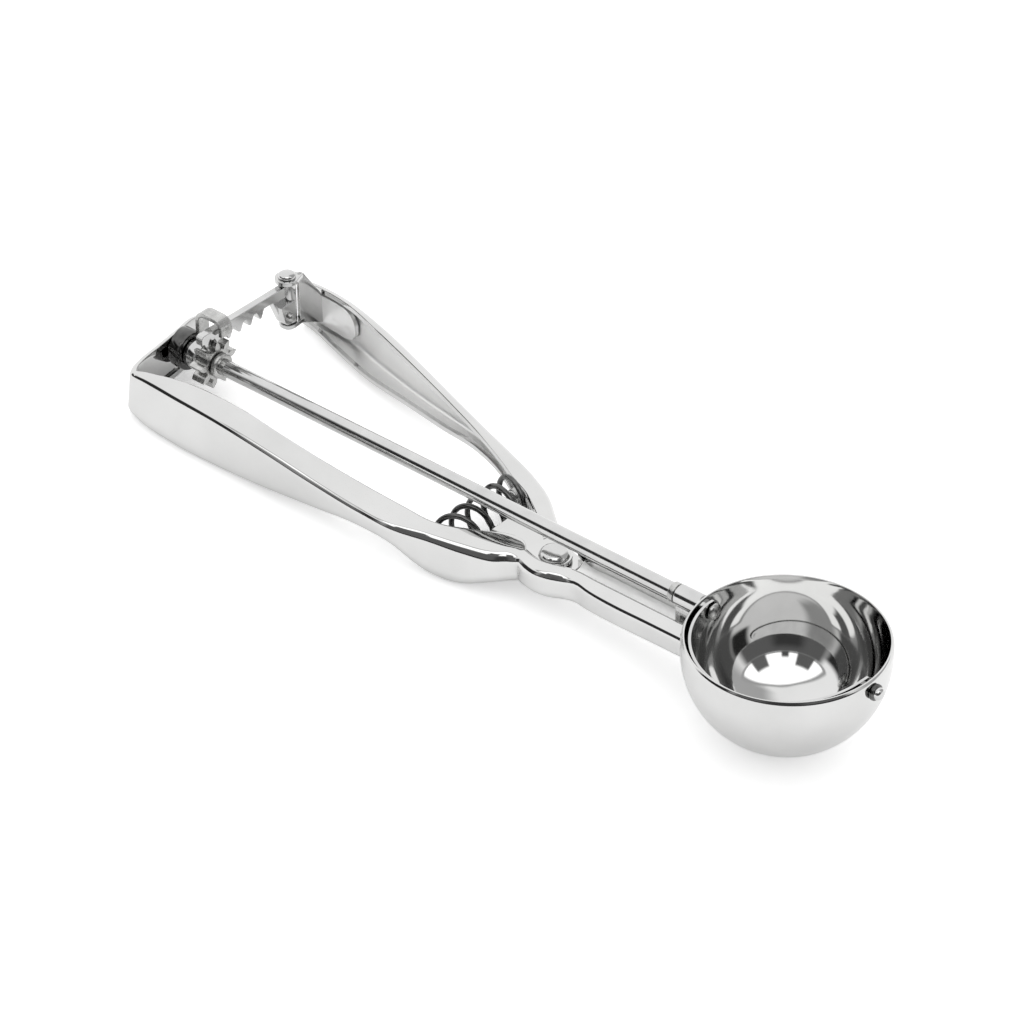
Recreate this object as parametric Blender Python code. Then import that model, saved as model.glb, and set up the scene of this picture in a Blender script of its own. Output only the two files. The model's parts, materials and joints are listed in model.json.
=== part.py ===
# Spring-lever ice cream scoop of polished stainless steel.
# The rod runs along X through y = 0, z = 0, and the bowl is at x = 0. The fixed
# handle is on the -Y side and the lever on the +Y side. Values are in
# millimetres and degrees. The whole scoop then leans back until it lies on its
# bowl and handles, with the origin under the middle of its box.
import math

import bmesh
import bpy
from mathutils import Vector

MM = 0.001
GAP = 0.3
RUNNING = 0.08
SHEET = 1.2

BOWL_RADIUS = 25.4
BOWL_BAND = 4.0
RIM_HEIGHT = 3.3
BOWL_CENTRE_Z = RIM_HEIGHT - BOWL_BAND
BOWL_SIDES = 60

ROD_RADIUS = 2.2
ROD_REAR = -203.6
ROD_CHAMFER = 0.4
ROD_FRONT = -(BOWL_RADIUS - SHEET - ROD_CHAMFER)
SPIGOT_RADIUS = ROD_RADIUS - 0.9
ROUND_SIDES = 24

# Handle section
SHOULDER = 2.4
LIP = 0.3
EDGE = 0.35
STATION = 4.5
FLANGE_TOP = -5.5
FLOOR_TOP = -8.5
FLOOR_BOTTOM = FLOOR_TOP - SHEET
FLOOR_REAR = -80.5
FLOOR_FIRST_RIB = -79.0
FLOOR_END_HALF = 2.5
NECK_LIP = FLANGE_TOP - FLOOR_BOTTOM - GAP
NECK_BLEND = (-94.0, -84.0)
FAR_NECK = 8.8

# Rear end wall: its outer face is x = WALL_X - WALL_LEAN * y.
WALL_X = -202.5
WALL_LEAN = 0.156
WALL_EDGE = 2.0
WALL_FACE = WALL_X + WALL_EDGE + GAP

# Pivot of the lever
PIVOT_X = -72.0
LEVER_OPEN = 9.0
RIVET_RADIUS = 2.2
RIVET_HEAD = RIVET_RADIUS + 1.45
RIVET_TAIL = RIVET_RADIUS + 1.2
WASHER_RADIUS = RIVET_RADIUS + 2.2
WASHER_THICKNESS = 1.0
TONGUE_RADIUS = 4.6
TONGUE_BOTTOM = FLOOR_TOP + GAP
TONGUE_TOP = TONGUE_BOTTOM + SHEET
TONGUE_EDGE = [(-78.8, -2.9), (-85.6, -1.6), (-90.9, -1.9), (-90.9, 4.0), (-89.0, 10.0)]

# Rack and pinion
TEETH = 9
MODULE = 1.25
PRESSURE_ANGLE = 25.0
PITCH_RADIUS = MODULE * TEETH / 2
PINION_ADDENDUM = 1.2
RACK_ADDENDUM = 1.0
DEDENDUM = 1.45
PINION_ROOT = PITCH_RADIUS - 1.375
TOOTH_THINNING = 0.15
PINION_FRONT = -186.2
PINION_REAR = -190.4
PINION_COLLAR_RADIUS = ROD_RADIUS + 1.3
PINION_COLLAR_LENGTH = 1.5
RACK_X = -188.6
RACK_THICKNESS = 2.2
RACK_TEETH = 6
RACK_NEAR_END = -4.3
RACK_TOP = 9.8
PIN_Y = 29.2
PIN_RADIUS = 1.4
PIN_HEAD = PIN_RADIUS + 1.0
PIN_TAIL = PIN_RADIUS + 0.5
BARREL_RADIUS = 2.3
TAB_CENTRE = (27.1, 1.2)
TAB_RADIUS = 2.3
TAB_FRONT = BARREL_RADIUS + 0.4
EAR_RADIUS = 3.3
LOWER_EAR_RADIUS = 2.6
UPPER_EAR = 10.5
LOWER_EAR = -3.3
TAB_BOTTOM = LOWER_EAR + SHEET + GAP
TAB_TOP = 5.4

# Bracket on the lever: web and weld plate in the closed lever's frame
WEB_X = -191.4
WEB_Y = -23.7
PLATE_REAR = -194.5
PLATE_FRONT = -177.0
PLATE_ROUND = 6.0
PLATE_MARGIN = 2.0
PLATE_STATION = 1.5
PLATE_DEPTH = SHEET + GAP + 0.1

# Rear bearing, with the guide that keeps the rack down on the pinion
CUP_RADIUS = ROD_RADIUS + 1.9
BEARING_PLATE_RADIUS = ROD_RADIUS + 3.2
BEARING_PLATE_FRONT = -195.6
GUIDE_SIDES = (1.2, 5.2)
GUIDE_LIP = 3.4
GUIDE_BEND = 2.4
GUIDE_RISE = 1.3

# Front bearing, and the collar that stops against it
BEARING_FRONT = -(BOWL_RADIUS + GAP + 0.1)
BEARING_REAR = BEARING_FRONT - 6.9
SLEEVE_RADIUS = ROD_RADIUS + 1.1
BEARING_WEB = 1.6
STOP_RADIUS = ROD_RADIUS + 0.9
STOP_FRONT = BEARING_REAR - GAP
STOP_REAR = STOP_FRONT - 1.6

# Spring between the handles
SPRING_X = -98.0
SPRING_Z = -9.7
SPRING_RADIUS = 5.55
WIRE_RADIUS = 0.65
SPRING_NEAR = -7.5
SPRING_FAR = 13.8
NEAR_SLOPE = 0.28
FAR_SLOPE = -0.43
END_PITCH = 2.4
END_CURLS = 0.5
ACTIVE_CURLS = 4
CURL_POINTS = 10
PEG_RADIUS = 2.1

# Blade
BLADE_THICKNESS = 0.7
BLADE_CLEARANCE = 0.9
BLADE_RADIUS = BOWL_RADIUS - SHEET - BLADE_CLEARANCE - BLADE_THICKNESS / 2
BLADE_HALF_WIDTH = 4.2
BLADE_END_HALF = 2.7
BLADE_REST = 6.0
RIM_PIN_RADIUS = 1.25
RIM_PIN_HEAD = RIM_PIN_RADIUS + 0.65
RIM_COLLAR_RADIUS = RIM_PIN_RADIUS + 1.25
RIM_COLLAR_LENGTH = 0.9

# Ribs of the fixed handle from the free end of its rear wall to the bowl:
# x, y of the outer face, top, bottom, top flange, bottom flange, depth of lip.
HANDLE_LIP = SHEET + 0.4
SMALL_LIP = SHEET + 0.2
WALL_RIBS = [
    (WALL_X - WALL_LEAN * y, y, top, bottom, WALL_EDGE, WALL_EDGE, HANDLE_LIP)
    for y, top, bottom in (
        (9.4, 3.6, -6.4),
        (7.0, 4.3, -8.4),
        (1.0, 4.3, -9.0),
        (-8.0, 4.2, -9.0),
        (-16.0, 4.1, -8.9),
    )
]
CORNER_RIBS = [
    (-199.5, -19.2, 4.1, -8.8, 2.5, 2.4, HANDLE_LIP),
    (-197.7, -22.3, 4.1, -8.6, 3.0, 2.8, HANDLE_LIP),
]
HANDLE_RIBS = [
    (-193.2, -23.7, 4.1, -8.8, 5.4, 4.6, HANDLE_LIP),
    (-182.0, -24.3, 4.0, -9.5, 9.0, 7.2, HANDLE_LIP),
    (-165.0, -23.5, 3.2, -10.6, 9.6, 8.5, HANDLE_LIP),
    (-150.0, -22.6, 0.9, -10.7, 9.2, 8.5, HANDLE_LIP),
    (-135.0, -21.8, -2.0, -10.1, 9.6, 8.0, HANDLE_LIP),
    (-120.0, -20.8, -4.2, -9.6, 9.8, 7.0, HANDLE_LIP),
    (-110.0, -20.0, -5.0, -11.3, 9.5, 6.0, HANDLE_LIP),
    (-100.5, -18.7, -5.4, -16.8, 8.8, 5.0, HANDLE_LIP),
    (-91.0, -16.9, FLANGE_TOP, -17.4, 10.1, 4.5, SMALL_LIP),
    (-83.0, -13.9, FLANGE_TOP, -14.8, 10.3, 4.0, SMALL_LIP),
]
BOSS_RIBS = [
    (-78.6, -9.8, FLANGE_TOP, -13.7, 5.2, 3.0, SMALL_LIP),
    (-77.5, -8.8, FLANGE_TOP, -13.5, 4.1, 3.0, 2.0),
    (-76.3, -9.5, FLANGE_TOP, -13.3, 4.4, 3.0, 2.8),
    (-72.0, -10.8, FLANGE_TOP, -12.9, 4.7, 3.0, NECK_LIP),
]
NECK_RIBS = [
    (-68.0, -11.0, FLANGE_TOP, -12.4, 6.0, 3.0, NECK_LIP),
    (-64.0, -9.6, FLANGE_TOP, -11.8, 6.8, 2.6, NECK_LIP),
    (-61.2, -7.2, FLANGE_TOP, -11.3, 4.6, 2.2, NECK_LIP),
    (-57.0, -8.4, FLANGE_TOP, -11.0, 5.8, 2.0, NECK_LIP),
    (-50.0, -9.6, FLANGE_TOP, -10.8, 7.0, 2.0, NECK_LIP),
    (-38.0, -9.3, FLANGE_TOP, -10.6, 6.7, 2.0, NECK_LIP),
    (-18.0, -9.2, FLANGE_TOP, -10.5, 6.6, 2.0, NECK_LIP),
]
# The lever's ribs, drawn closed and on the near side
LEVER_RIBS = [
    (-197.5, -22.3, 3.7, -8.8, 2.3, 4.0, HANDLE_LIP),
    (-193.0, -23.2, 3.9, -9.0, 2.3, 4.8, HANDLE_LIP),
    (-182.0, -24.3, 3.9, -9.5, 2.5, 7.0, HANDLE_LIP),
    (-165.0, -23.5, 3.1, -10.6, 3.2, 7.4, HANDLE_LIP),
    (-150.0, -22.6, 0.9, -10.7, 3.2, 6.2, HANDLE_LIP),
    (-135.0, -21.8, -2.0, -10.1, 3.2, 5.8, HANDLE_LIP),
    (-120.0, -20.7, -4.2, -9.6, 3.8, 4.8, HANDLE_LIP),
    (-110.0, -19.6, -5.0, -11.3, 4.8, 4.4, HANDLE_LIP),
    (-100.5, -18.0, -5.4, -16.4, 5.9, 4.0, HANDLE_LIP),
    (-91.0, -15.0, FLANGE_TOP, -17.3, 5.6, 4.0, SMALL_LIP),
    (-84.0, -11.0, FLANGE_TOP, -15.0, 5.4, 3.6, SMALL_LIP),
    (-80.0, -8.6, FLANGE_TOP, -14.0, 5.4, 3.0, SMALL_LIP),
]

FINISHES = {
    "mirror": ((0.86, 0.86, 0.87), 0.06),
    "polished": ((0.80, 0.80, 0.81), 0.14),
    "satin": ((0.70, 0.70, 0.72), 0.28),
    "wire": ((0.66, 0.66, 0.68), 0.2),
}


def clearScene():
    for obj in list(bpy.data.objects):
        bpy.data.objects.remove(obj, do_unlink=True)


def axisEmpty(name, point, parent):
    empty = bpy.data.objects.new(name, None)
    empty.location = Vector(point) * MM
    empty.parent = parent
    bpy.context.scene.collection.objects.link(empty)
    return empty


def meshObject(name, bm):
    bmesh.ops.recalc_face_normals(bm, faces=bm.faces[:])
    bmesh.ops.scale(bm, vec=(MM, MM, MM), verts=bm.verts[:])
    mesh = bpy.data.meshes.new(name)
    bm.to_mesh(mesh)
    bm.free()
    mesh.shade_smooth()
    mesh.set_sharp_from_angle(angle=math.radians(35))
    obj = bpy.data.objects.new(name, mesh)
    bpy.context.scene.collection.objects.link(obj)
    return obj


def steel(name, finish):
    colour, roughness = FINISHES[finish]
    material = bpy.data.materials.new(name)
    material.use_nodes = True
    shader = material.node_tree.nodes["Principled BSDF"]
    shader.inputs["Base Color"].default_value = (*colour, 1.0)
    shader.inputs["Metallic"].default_value = 1.0
    shader.inputs["Roughness"].default_value = roughness
    material.diffuse_color = (*colour, 1.0)
    return material


def carry(obj, parent, finish):
    # The mesh is drawn in place, so its origin is moved back by the parent's.
    obj.data.materials.append(steel(obj.name + "_steel", finish))
    obj.parent = parent
    obj.location = -parent.location
    return obj


def part(name, bm, parent, finish="polished"):
    return carry(meshObject(name, bm), parent, finish)


def combine(target, bm, operation):
    helper = meshObject(target.name + "_" + operation.lower(), bm)
    helper.hide_render = True
    helper.display_type = "WIRE"
    helper.parent = target.parent
    helper.location = target.location
    modifier = target.modifiers.new(operation.lower(), "BOOLEAN")
    modifier.operation = operation
    modifier.solver = "EXACT"
    modifier.object = helper


def loft(rings):
    bm = bmesh.new()
    rows = [[bm.verts.new(point) for point in ring] for ring in rings]
    count = len(rings[0])
    for first, second in zip(rows, rows[1:]):
        for i in range(count):
            j = (i + 1) % count
            bm.faces.new((first[i], first[j], second[j], second[i]))
    bm.faces.new(rows[0][::-1])
    bm.faces.new(rows[-1])
    return bm


def prism(outline, low, high, axis="Z"):
    # The outline is in the two axes that follow the named one.
    def place(a, b, c):
        return {"X": (c, a, b), "Y": (b, c, a), "Z": (a, b, c)}[axis]

    return loft([[place(a, b, c) for a, b in outline] for c in (low, high)])


def turned(profile, centre, axis, sides=ROUND_SIDES):
    # The profile is a loop of (radius, distance along the axis). Points of
    # radius 0 lie on the axis.
    bm = bmesh.new()
    origin = Vector(centre)
    columns = []
    for radius, along in profile:
        column = []
        for i in range(sides if radius else 1):
            angle = 2 * math.pi * (i + 0.5) / sides
            a = radius * math.cos(angle)
            b = radius * math.sin(angle)
            offset = {"X": (along, a, b), "Y": (b, along, a), "Z": (a, b, along)}[axis]
            column.append(bm.verts.new(origin + Vector(offset)))
        columns.append(column)
    for first, second in zip(columns, columns[1:] + columns[:1]):
        for i in range(sides):
            corners = [first[i % len(first)], first[(i + 1) % len(first)]]
            corners += [second[(i + 1) % len(second)], second[i % len(second)]]
            corners = list(dict.fromkeys(corners))
            if len(corners) > 2:
                bm.faces.new(corners)
    return bm


def rod(radius, low, high, centre, axis, sides=ROUND_SIDES):
    return turned([(0, low), (radius, low), (radius, high), (0, high)], centre, axis, sides)


def ring(inner, outer, low, high, centre, axis, chamfer=0.25):
    profile = [
        (inner, low),
        (outer - chamfer, low),
        (outer, low + chamfer),
        (outer, high - chamfer),
        (outer - chamfer, high),
        (inner, high),
    ]
    return turned(profile, centre, axis)


def arc(centre, radius, start, end, steps):
    return [
        (
            centre[0] + radius * math.cos(math.radians(start + (end - start) * i / steps)),
            centre[1] + radius * math.sin(math.radians(start + (end - start) * i / steps)),
        )
        for i in range(steps + 1)
    ]


def stations(rows, spacing=STATION):
    # A smooth curve through the rows, with tangents weighted by plan distance.
    lengths = [math.dist(a[:2], b[:2]) for a, b in zip(rows, rows[1:])]
    slopes = []
    for i, row in enumerate(rows):
        before = max(i - 1, 0)
        after = min(i, len(lengths) - 1)
        weight = lengths[before] / (lengths[before] + lengths[after])
        slopes.append(
            [
                (rows[before + 1][k] - rows[before][k]) / lengths[before] * (1 - weight)
                + (rows[after + 1][k] - rows[after][k]) / lengths[after] * weight
                for k in range(len(row))
            ]
        )
    curve = []
    for i, length in enumerate(lengths):
        steps = max(2, math.ceil(length / spacing))
        for step in range(steps):
            t = step / steps
            curve.append(
                [
                    (2 * t**3 - 3 * t**2 + 1) * rows[i][k]
                    + (t**3 - 2 * t**2 + t) * length * slopes[i][k]
                    + (3 * t**2 - 2 * t**3) * rows[i + 1][k]
                    + (t**3 - t**2) * length * slopes[i + 1][k]
                    for k in range(len(rows[i]))
                ]
            )
    curve.append(list(rows[-1]))
    return curve


def inwardNormals(curve):
    # Square to the wall along the handle, and straight across on the neck
    normals = []
    for i, point in enumerate(curve):
        back = curve[max(i - 1, 0)]
        ahead = curve[min(i + 1, len(curve) - 1)]
        along = Vector((ahead[0] - back[0], ahead[1] - back[1])).normalized()
        across = min(1.0, max(0.0, (point[0] - NECK_BLEND[0]) / (NECK_BLEND[1] - NECK_BLEND[0])))
        normals.append(Vector((-along.y, along.x)).lerp(Vector((0.0, 1.0)), across).normalized())
    return normals


def channelSection(top, bottom, wide_top, wide_bottom, lip):
    # (depth from the outer face, height) round a channel of sheet metal
    upper = min(SHOULDER, wide_top - LIP)
    lower = min(SHOULDER, wide_bottom - LIP)
    upper_lip = wide_top - min(SHEET, wide_top - upper - 0.05)
    lower_lip = wide_bottom - min(SHEET, wide_bottom - lower - 0.05)
    upper_edge = min(EDGE, 0.8 * (wide_top - upper))
    lower_edge = min(EDGE, 0.8 * (wide_bottom - lower))
    high = (upper, top - upper)
    low = (lower, bottom + lower)
    section = [(wide_bottom, bottom + lower_edge), (wide_bottom - lower_edge, bottom)]
    section += arc(low, lower, 270, 180, 4)
    section += arc(high, upper, 180, 90, 4)
    section += [(wide_top - upper_edge, top), (wide_top, top - upper_edge)]
    section += [(wide_top, top - lip), (upper_lip, top - lip), (upper_lip, top - SHEET)]
    section += arc(high, max(upper - SHEET, 0.05), 90, 180, 3)
    section += arc(low, max(lower - SHEET, 0.05), 180, 270, 3)
    section += [(lower_lip, bottom + SHEET), (lower_lip, bottom + HANDLE_LIP)]
    section += [(wide_bottom, bottom + HANDLE_LIP)]
    return section


def plan(point, depth, normal):
    return (point[0] + normal.x * depth, point[1] + normal.y * depth)


def shellRings(rows, place):
    curve = stations(rows)
    rings = []
    for point, normal in zip(curve, inwardNormals(curve)):
        rings.append(
            [(*place(*plan(point, depth, normal)), height) for depth, height in channelSection(*point[2:])]
        )
    return rings


def insetLine(rows, depth, first, last, spacing=STATION):
    # Plan points at a depth from the outer face, for x between first and last
    curve = stations(rows, spacing)
    return [
        (plan(point, depth(point), normal), point)
        for point, normal in zip(curve, inwardNormals(curve))
        if first <= point[0] <= last
    ]


def asDrawn(x, y):
    return x, y


def mirrored(x, y):
    return x, -y


def opened(x, y):
    # The lever is the mirror of the fixed handle, swung open about the pivot.
    angle = math.radians(LEVER_OPEN)
    along = x - PIVOT_X
    across = -y
    return (
        PIVOT_X + along * math.cos(angle) + across * math.sin(angle),
        -along * math.sin(angle) + across * math.cos(angle),
    )


def bowlProfile(offset):
    outer = BOWL_RADIUS + offset
    return [(outer, RIM_HEIGHT)] + [
        (outer * math.cos(math.radians(a)), BOWL_CENTRE_Z - outer * math.sin(math.radians(a)))
        for a in [90 * i / 18 for i in range(18)]
    ]


def buildBowl(frame):
    outer = bowlProfile(0.0)
    inner = bowlProfile(-SHEET)
    chamfer = 0.3
    profile = [(0, BOWL_CENTRE_Z - BOWL_RADIUS)] + outer[:0:-1]
    profile += [(BOWL_RADIUS, RIM_HEIGHT - chamfer), (BOWL_RADIUS - chamfer, RIM_HEIGHT)]
    profile += [(BOWL_RADIUS - SHEET + chamfer, RIM_HEIGHT), (BOWL_RADIUS - SHEET, RIM_HEIGHT - chamfer)]
    profile += inner[1:] + [(0, BOWL_CENTRE_Z - BOWL_RADIUS + SHEET)]
    bowl = part("bowl", turned(profile, (0, 0, 0), "Z", BOWL_SIDES), frame, "mirror")
    combine(bowl, rod(ROD_RADIUS + RUNNING, -BOWL_RADIUS - 1, 5 - BOWL_RADIUS, (0, 0, 0), "X"), "DIFFERENCE")
    combine(bowl, rod(RIM_PIN_RADIUS + GAP, BOWL_RADIUS - 5, BOWL_RADIUS + 1, (0, 0, 0), "X"), "DIFFERENCE")


def buildFrameShell(frame):
    rows = WALL_RIBS + CORNER_RIBS + HANDLE_RIBS + BOSS_RIBS + NECK_RIBS
    shell = part("frame_shell", loft(shellRings(rows, asDrawn)), frame, "mirror")
    far = []
    for x, y, top, bottom, wide, *rest in NECK_RIBS:
        far.append((x, max(y, -FAR_NECK), top, bottom, wide + min(0.0, y + FAR_NECK), *rest))
    combine(shell, loft(shellRings(far, mirrored)), "UNION")
    near = [p for p, _ in insetLine(rows, lambda row: row[4] - SHEET / 2, FLOOR_FIRST_RIB, 0)]
    floor = [(FLOOR_REAR, -FLOOR_END_HALF)] + near
    floor += [(x, -y) for x, y in reversed(near)] + [(FLOOR_REAR, FLOOR_END_HALF)]
    combine(shell, prism(floor, FLOOR_BOTTOM, FLOOR_TOP), "UNION")
    clear = [(0, RIM_HEIGHT)] + bowlProfile(GAP) + [(0, BOWL_CENTRE_Z - BOWL_RADIUS - GAP)]
    combine(shell, turned(clear, (0, 0, 0), "Z", BOWL_SIDES), "DIFFERENCE")
    combine(shell, rod(ROD_RADIUS + GAP, WALL_X - 2, WALL_X + 3, (0, 0, 0), "X"), "DIFFERENCE")
    pivot_hole = rod(RIVET_RADIUS + GAP, FLOOR_BOTTOM - 1, FLOOR_TOP + 1, (PIVOT_X, 0, 0), "Z")
    combine(shell, pivot_hole, "DIFFERENCE")


def buildBearings(frame):
    plate = ring(
        ROD_RADIUS + RUNNING,
        BEARING_PLATE_RADIUS,
        WALL_FACE,
        BEARING_PLATE_FRONT,
        (0, 0, 0),
        "X",
    )
    for vert in plate.verts:
        if vert.co.x < WALL_FACE + 0.5:
            vert.co.x -= WALL_LEAN * vert.co.y
    part("bearing_plate", plate, frame, "satin")
    cup = ring(
        ROD_RADIUS + RUNNING,
        CUP_RADIUS,
        BEARING_PLATE_FRONT + GAP,
        PINION_REAR - GAP,
        (0, 0, 0),
        "X",
        0.4,
    )
    part("bearing_cup", cup, frame, "polished")

    # A strip bent up from the drum behind the rack, over it and down in front
    top = RACK_TOP + GUIDE_RISE + SHEET
    foot = CUP_RADIUS + GAP
    rear = BEARING_PLATE_FRONT + GAP
    front = RACK_X + RACK_THICKNESS / 2 + 2 * GAP + SHEET
    bend_rear = (rear + GUIDE_BEND, top - GUIDE_BEND)
    bend_front = (front - GUIDE_BEND, top - GUIDE_BEND)
    strip = [(rear, foot), (rear + SHEET, foot)]
    strip += arc(bend_rear, GUIDE_BEND - SHEET, 180, 90, 3)
    strip += arc(bend_front, GUIDE_BEND - SHEET, 90, 0, 3)
    strip += [(front - SHEET, top - GUIDE_LIP), (front, top - GUIDE_LIP)]
    strip += arc(bend_front, GUIDE_BEND, 0, 90, 4)
    strip += arc(bend_rear, GUIDE_BEND, 90, 180, 4)
    rings = [[(x, y, z) for x, z in strip] for y in GUIDE_SIDES]
    part("rack_guide", loft(rings), frame, "satin")

    # A sleeve round the rod on a web that stands on the floor of the neck.
    foot = math.degrees(math.acos(BEARING_WEB / SLEEVE_RADIUS))
    outline = arc((0, 0), SLEEVE_RADIUS, -foot, 180 + foot, 18)
    outline += [(-BEARING_WEB, FLOOR_TOP + GAP), (BEARING_WEB, FLOOR_TOP + GAP)]
    front = part("front_bearing", prism(outline, BEARING_REAR, BEARING_FRONT, "X"), frame, "polished")
    bore = rod(ROD_RADIUS + RUNNING, BEARING_REAR - 1, BEARING_FRONT + 1, (0, 0, 0), "X")
    combine(front, bore, "DIFFERENCE")


def buildPivot(frame):
    base = TONGUE_TOP + GAP
    tail = FLOOR_BOTTOM - GAP - WASHER_THICKNESS - GAP
    profile = [
        (0, tail - 1.3),
        (RIVET_RADIUS, tail - 1.1),
        (RIVET_TAIL - 0.1, tail - 0.4),
        (RIVET_TAIL, tail),
        (RIVET_RADIUS, tail),
        (RIVET_RADIUS, base),
        (RIVET_HEAD, base),
        (RIVET_HEAD, base + 0.5),
        (RIVET_HEAD - 0.5, base + 0.95),
        (RIVET_HEAD - 1.3, base + 1.25),
        (0, base + 1.4),
    ]
    part("pivot_rivet", turned(profile, (PIVOT_X, 0, 0), "Z"), frame, "polished")
    washer = ring(RIVET_RADIUS + GAP, WASHER_RADIUS, tail + GAP, FLOOR_BOTTOM - GAP, (PIVOT_X, 0, 0), "Z")
    part("pivot_washer", washer, frame, "satin")


def buildRimPin(frame):
    outside = BOWL_RADIUS + GAP
    top = outside + RIM_COLLAR_LENGTH
    collar = ring(RIM_PIN_RADIUS + GAP, RIM_COLLAR_RADIUS, outside, top, (0, 0, 0), "X", 0.2)
    part("rim_pin_collar", collar, frame, "satin")
    base = top + GAP
    profile = [
        (0, BLADE_RADIUS - SHEET),
        (RIM_PIN_RADIUS, BLADE_RADIUS - SHEET),
        (RIM_PIN_RADIUS, base),
        (RIM_PIN_HEAD, base),
        (RIM_PIN_HEAD, base + 0.4),
        (RIM_PIN_HEAD - 0.5, base + 1.0),
        (0, base + 1.3),
    ]
    part("rim_pin", turned(profile, (0, 0, 0), "X"), frame, "polished")


def springPeg(name, parent, rows, place, nose, towards):
    # A stud that stands on the inside of the channel's wall
    first = SPRING_X - 2 * STATION
    last = SPRING_X + 2 * STATION
    line = [place(*point) for point, _ in insetLine(rows, lambda row: PLATE_DEPTH, first, last)]
    before = max((p for p in line if p[0] < SPRING_X), key=lambda p: p[0])
    after = min((p for p in line if p[0] >= SPRING_X), key=lambda p: p[0])
    slope = (after[1] - before[1]) / (after[0] - before[0])
    wall = before[1] + slope * (SPRING_X - before[0])
    profile = [
        (0, wall),
        (PEG_RADIUS, wall),
        (PEG_RADIUS, nose - towards * 0.8),
        (PEG_RADIUS - 0.8, nose),
        (0, nose),
    ]
    bm = turned(profile, (SPRING_X, 0, SPRING_Z), "Y")
    for vert in bm.verts:
        if abs(vert.co.y - wall) < 0.01:
            vert.co.y += slope * (vert.co.x - SPRING_X)
    part(name, bm, parent, "satin")


def buildLever(lever):
    shell = part("lever_shell", loft(shellRings(LEVER_RIBS, opened)), lever, "mirror")

    # The tongue reaches from the channel's wall to a round eye on the pivot.
    wall = [opened(*p) for p, _ in insetLine(LEVER_RIBS, lambda row: SHEET / 2, -90.0, -81.0)]
    eye = arc((PIVOT_X, 0), TONGUE_RADIUS, 100, -120, 14)
    tongue = wall + eye + TONGUE_EDGE
    combine(shell, prism(tongue, TONGUE_BOTTOM, TONGUE_TOP), "UNION")
    hole = rod(RIVET_RADIUS + RUNNING, TONGUE_BOTTOM - 1, TONGUE_TOP + 1, (PIVOT_X, 0, 0), "Z")
    combine(shell, hole, "DIFFERENCE")


def buildBracket(lever):
    # Weld plate on the inside of the wall, rounded at its front end
    span = (PLATE_REAR, PLATE_FRONT, PLATE_STATION)
    line = insetLine(LEVER_RIBS, lambda row: PLATE_DEPTH, *span)
    inner = insetLine(LEVER_RIBS, lambda row: PLATE_DEPTH + SHEET, *span)
    rings = []
    for (a, row), (b, _) in zip(line, inner):
        left = min(1.0, max(0.03, (PLATE_FRONT - row[0]) / PLATE_ROUND))
        middle = (row[2] + row[3]) / 2
        half = ((row[2] - row[3]) / 2 - PLATE_MARGIN) * math.sqrt(1 - (1 - left) ** 2)
        a = opened(*a)
        b = opened(*b)
        rings.append([(*a, middle - half), (*b, middle - half), (*b, middle + half), (*a, middle + half)])
    bracket = part("rack_bracket", loft(rings), lever, "polished")

    # Upright web square to the wall, clear of the channel's top flange
    top = UPPER_EAR + SHEET
    depths = [
        (PLATE_DEPTH + 0.3, -6.6),
        (9.4, LOWER_EAR),
        (9.4, top),
        (8.2, top),
        (4.4, 5.2),
        (3.1, 3.0),
        (3.0, 1.8),
        (PLATE_DEPTH + 0.3, 1.6),
    ]
    rings = [[(*opened(x, WEB_Y + depth), z) for depth, z in depths] for x in (WEB_X, WEB_X + SHEET)]
    combine(bracket, loft(rings), "UNION")
    for low, radius in ((LOWER_EAR, LOWER_EAR_RADIUS), (UPPER_EAR, EAR_RADIUS)):
        ends = [opened(x, WEB_Y + 8.9) for x in (WEB_X + 0.2, WEB_X + SHEET - 0.2)]
        start = math.degrees(math.atan2(ends[0][1] - PIN_Y, ends[0][0] - RACK_X)) + 65
        outline = arc((RACK_X, PIN_Y), radius, start, start + 230, 14) + [ends[1], ends[0]]
        combine(bracket, prism(outline, low, low + SHEET), "UNION")
    for low in (LOWER_EAR, UPPER_EAR):
        hole = rod(PIN_RADIUS + GAP, low - 1, low + SHEET + 1, (RACK_X, PIN_Y, 0), "Z")
        combine(bracket, hole, "DIFFERENCE")


def buildRackPin(lever):
    high = UPPER_EAR + SHEET + GAP
    low = LOWER_EAR - GAP
    profile = [
        (0, low - 0.9),
        (PIN_TAIL - 0.6, low - 0.7),
        (PIN_TAIL, low - 0.3),
        (PIN_TAIL, low),
        (PIN_RADIUS, low),
        (PIN_RADIUS, high),
        (PIN_HEAD, high),
        (PIN_HEAD, high + 0.4),
        (PIN_HEAD - 0.7, high + 1.0),
        (0, high + 1.3),
    ]
    part("rack_pin", turned(profile, (RACK_X, PIN_Y, 0), "Z"), lever, "polished")


def rackOutline():
    pitch = math.pi * MODULE
    tip = PITCH_RADIUS - RACK_ADDENDUM
    root = PITCH_RADIUS + DEDENDUM
    slope = math.tan(math.radians(PRESSURE_ANGLE))
    half = pitch / 4 - TOOTH_THINNING
    at_tip = half - slope * RACK_ADDENDUM
    at_root = half + slope * DEDENDUM
    outline = [(RACK_NEAR_END + 0.8, RACK_TOP), (RACK_NEAR_END, RACK_TOP - 0.8), (RACK_NEAR_END, root)]
    for tooth in range(RACK_TEETH):
        middle = (tooth - 0.5) * pitch
        outline += [(middle - at_root, root), (middle - at_tip, tip)]
        outline += [(middle + at_tip, tip), (middle + at_root, root)]
    # The hanging tab behind the teeth, then the end at the pin
    outline += [(22.4, root), (25.6, TAB_BOTTOM + 1.4)]
    outline += [(26.4, TAB_BOTTOM + 0.4), (27.6, TAB_BOTTOM), (PIN_Y + 1.6, TAB_BOTTOM)]
    outline += [(PIN_Y + 1.6, RACK_TOP)]
    return outline


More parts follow.
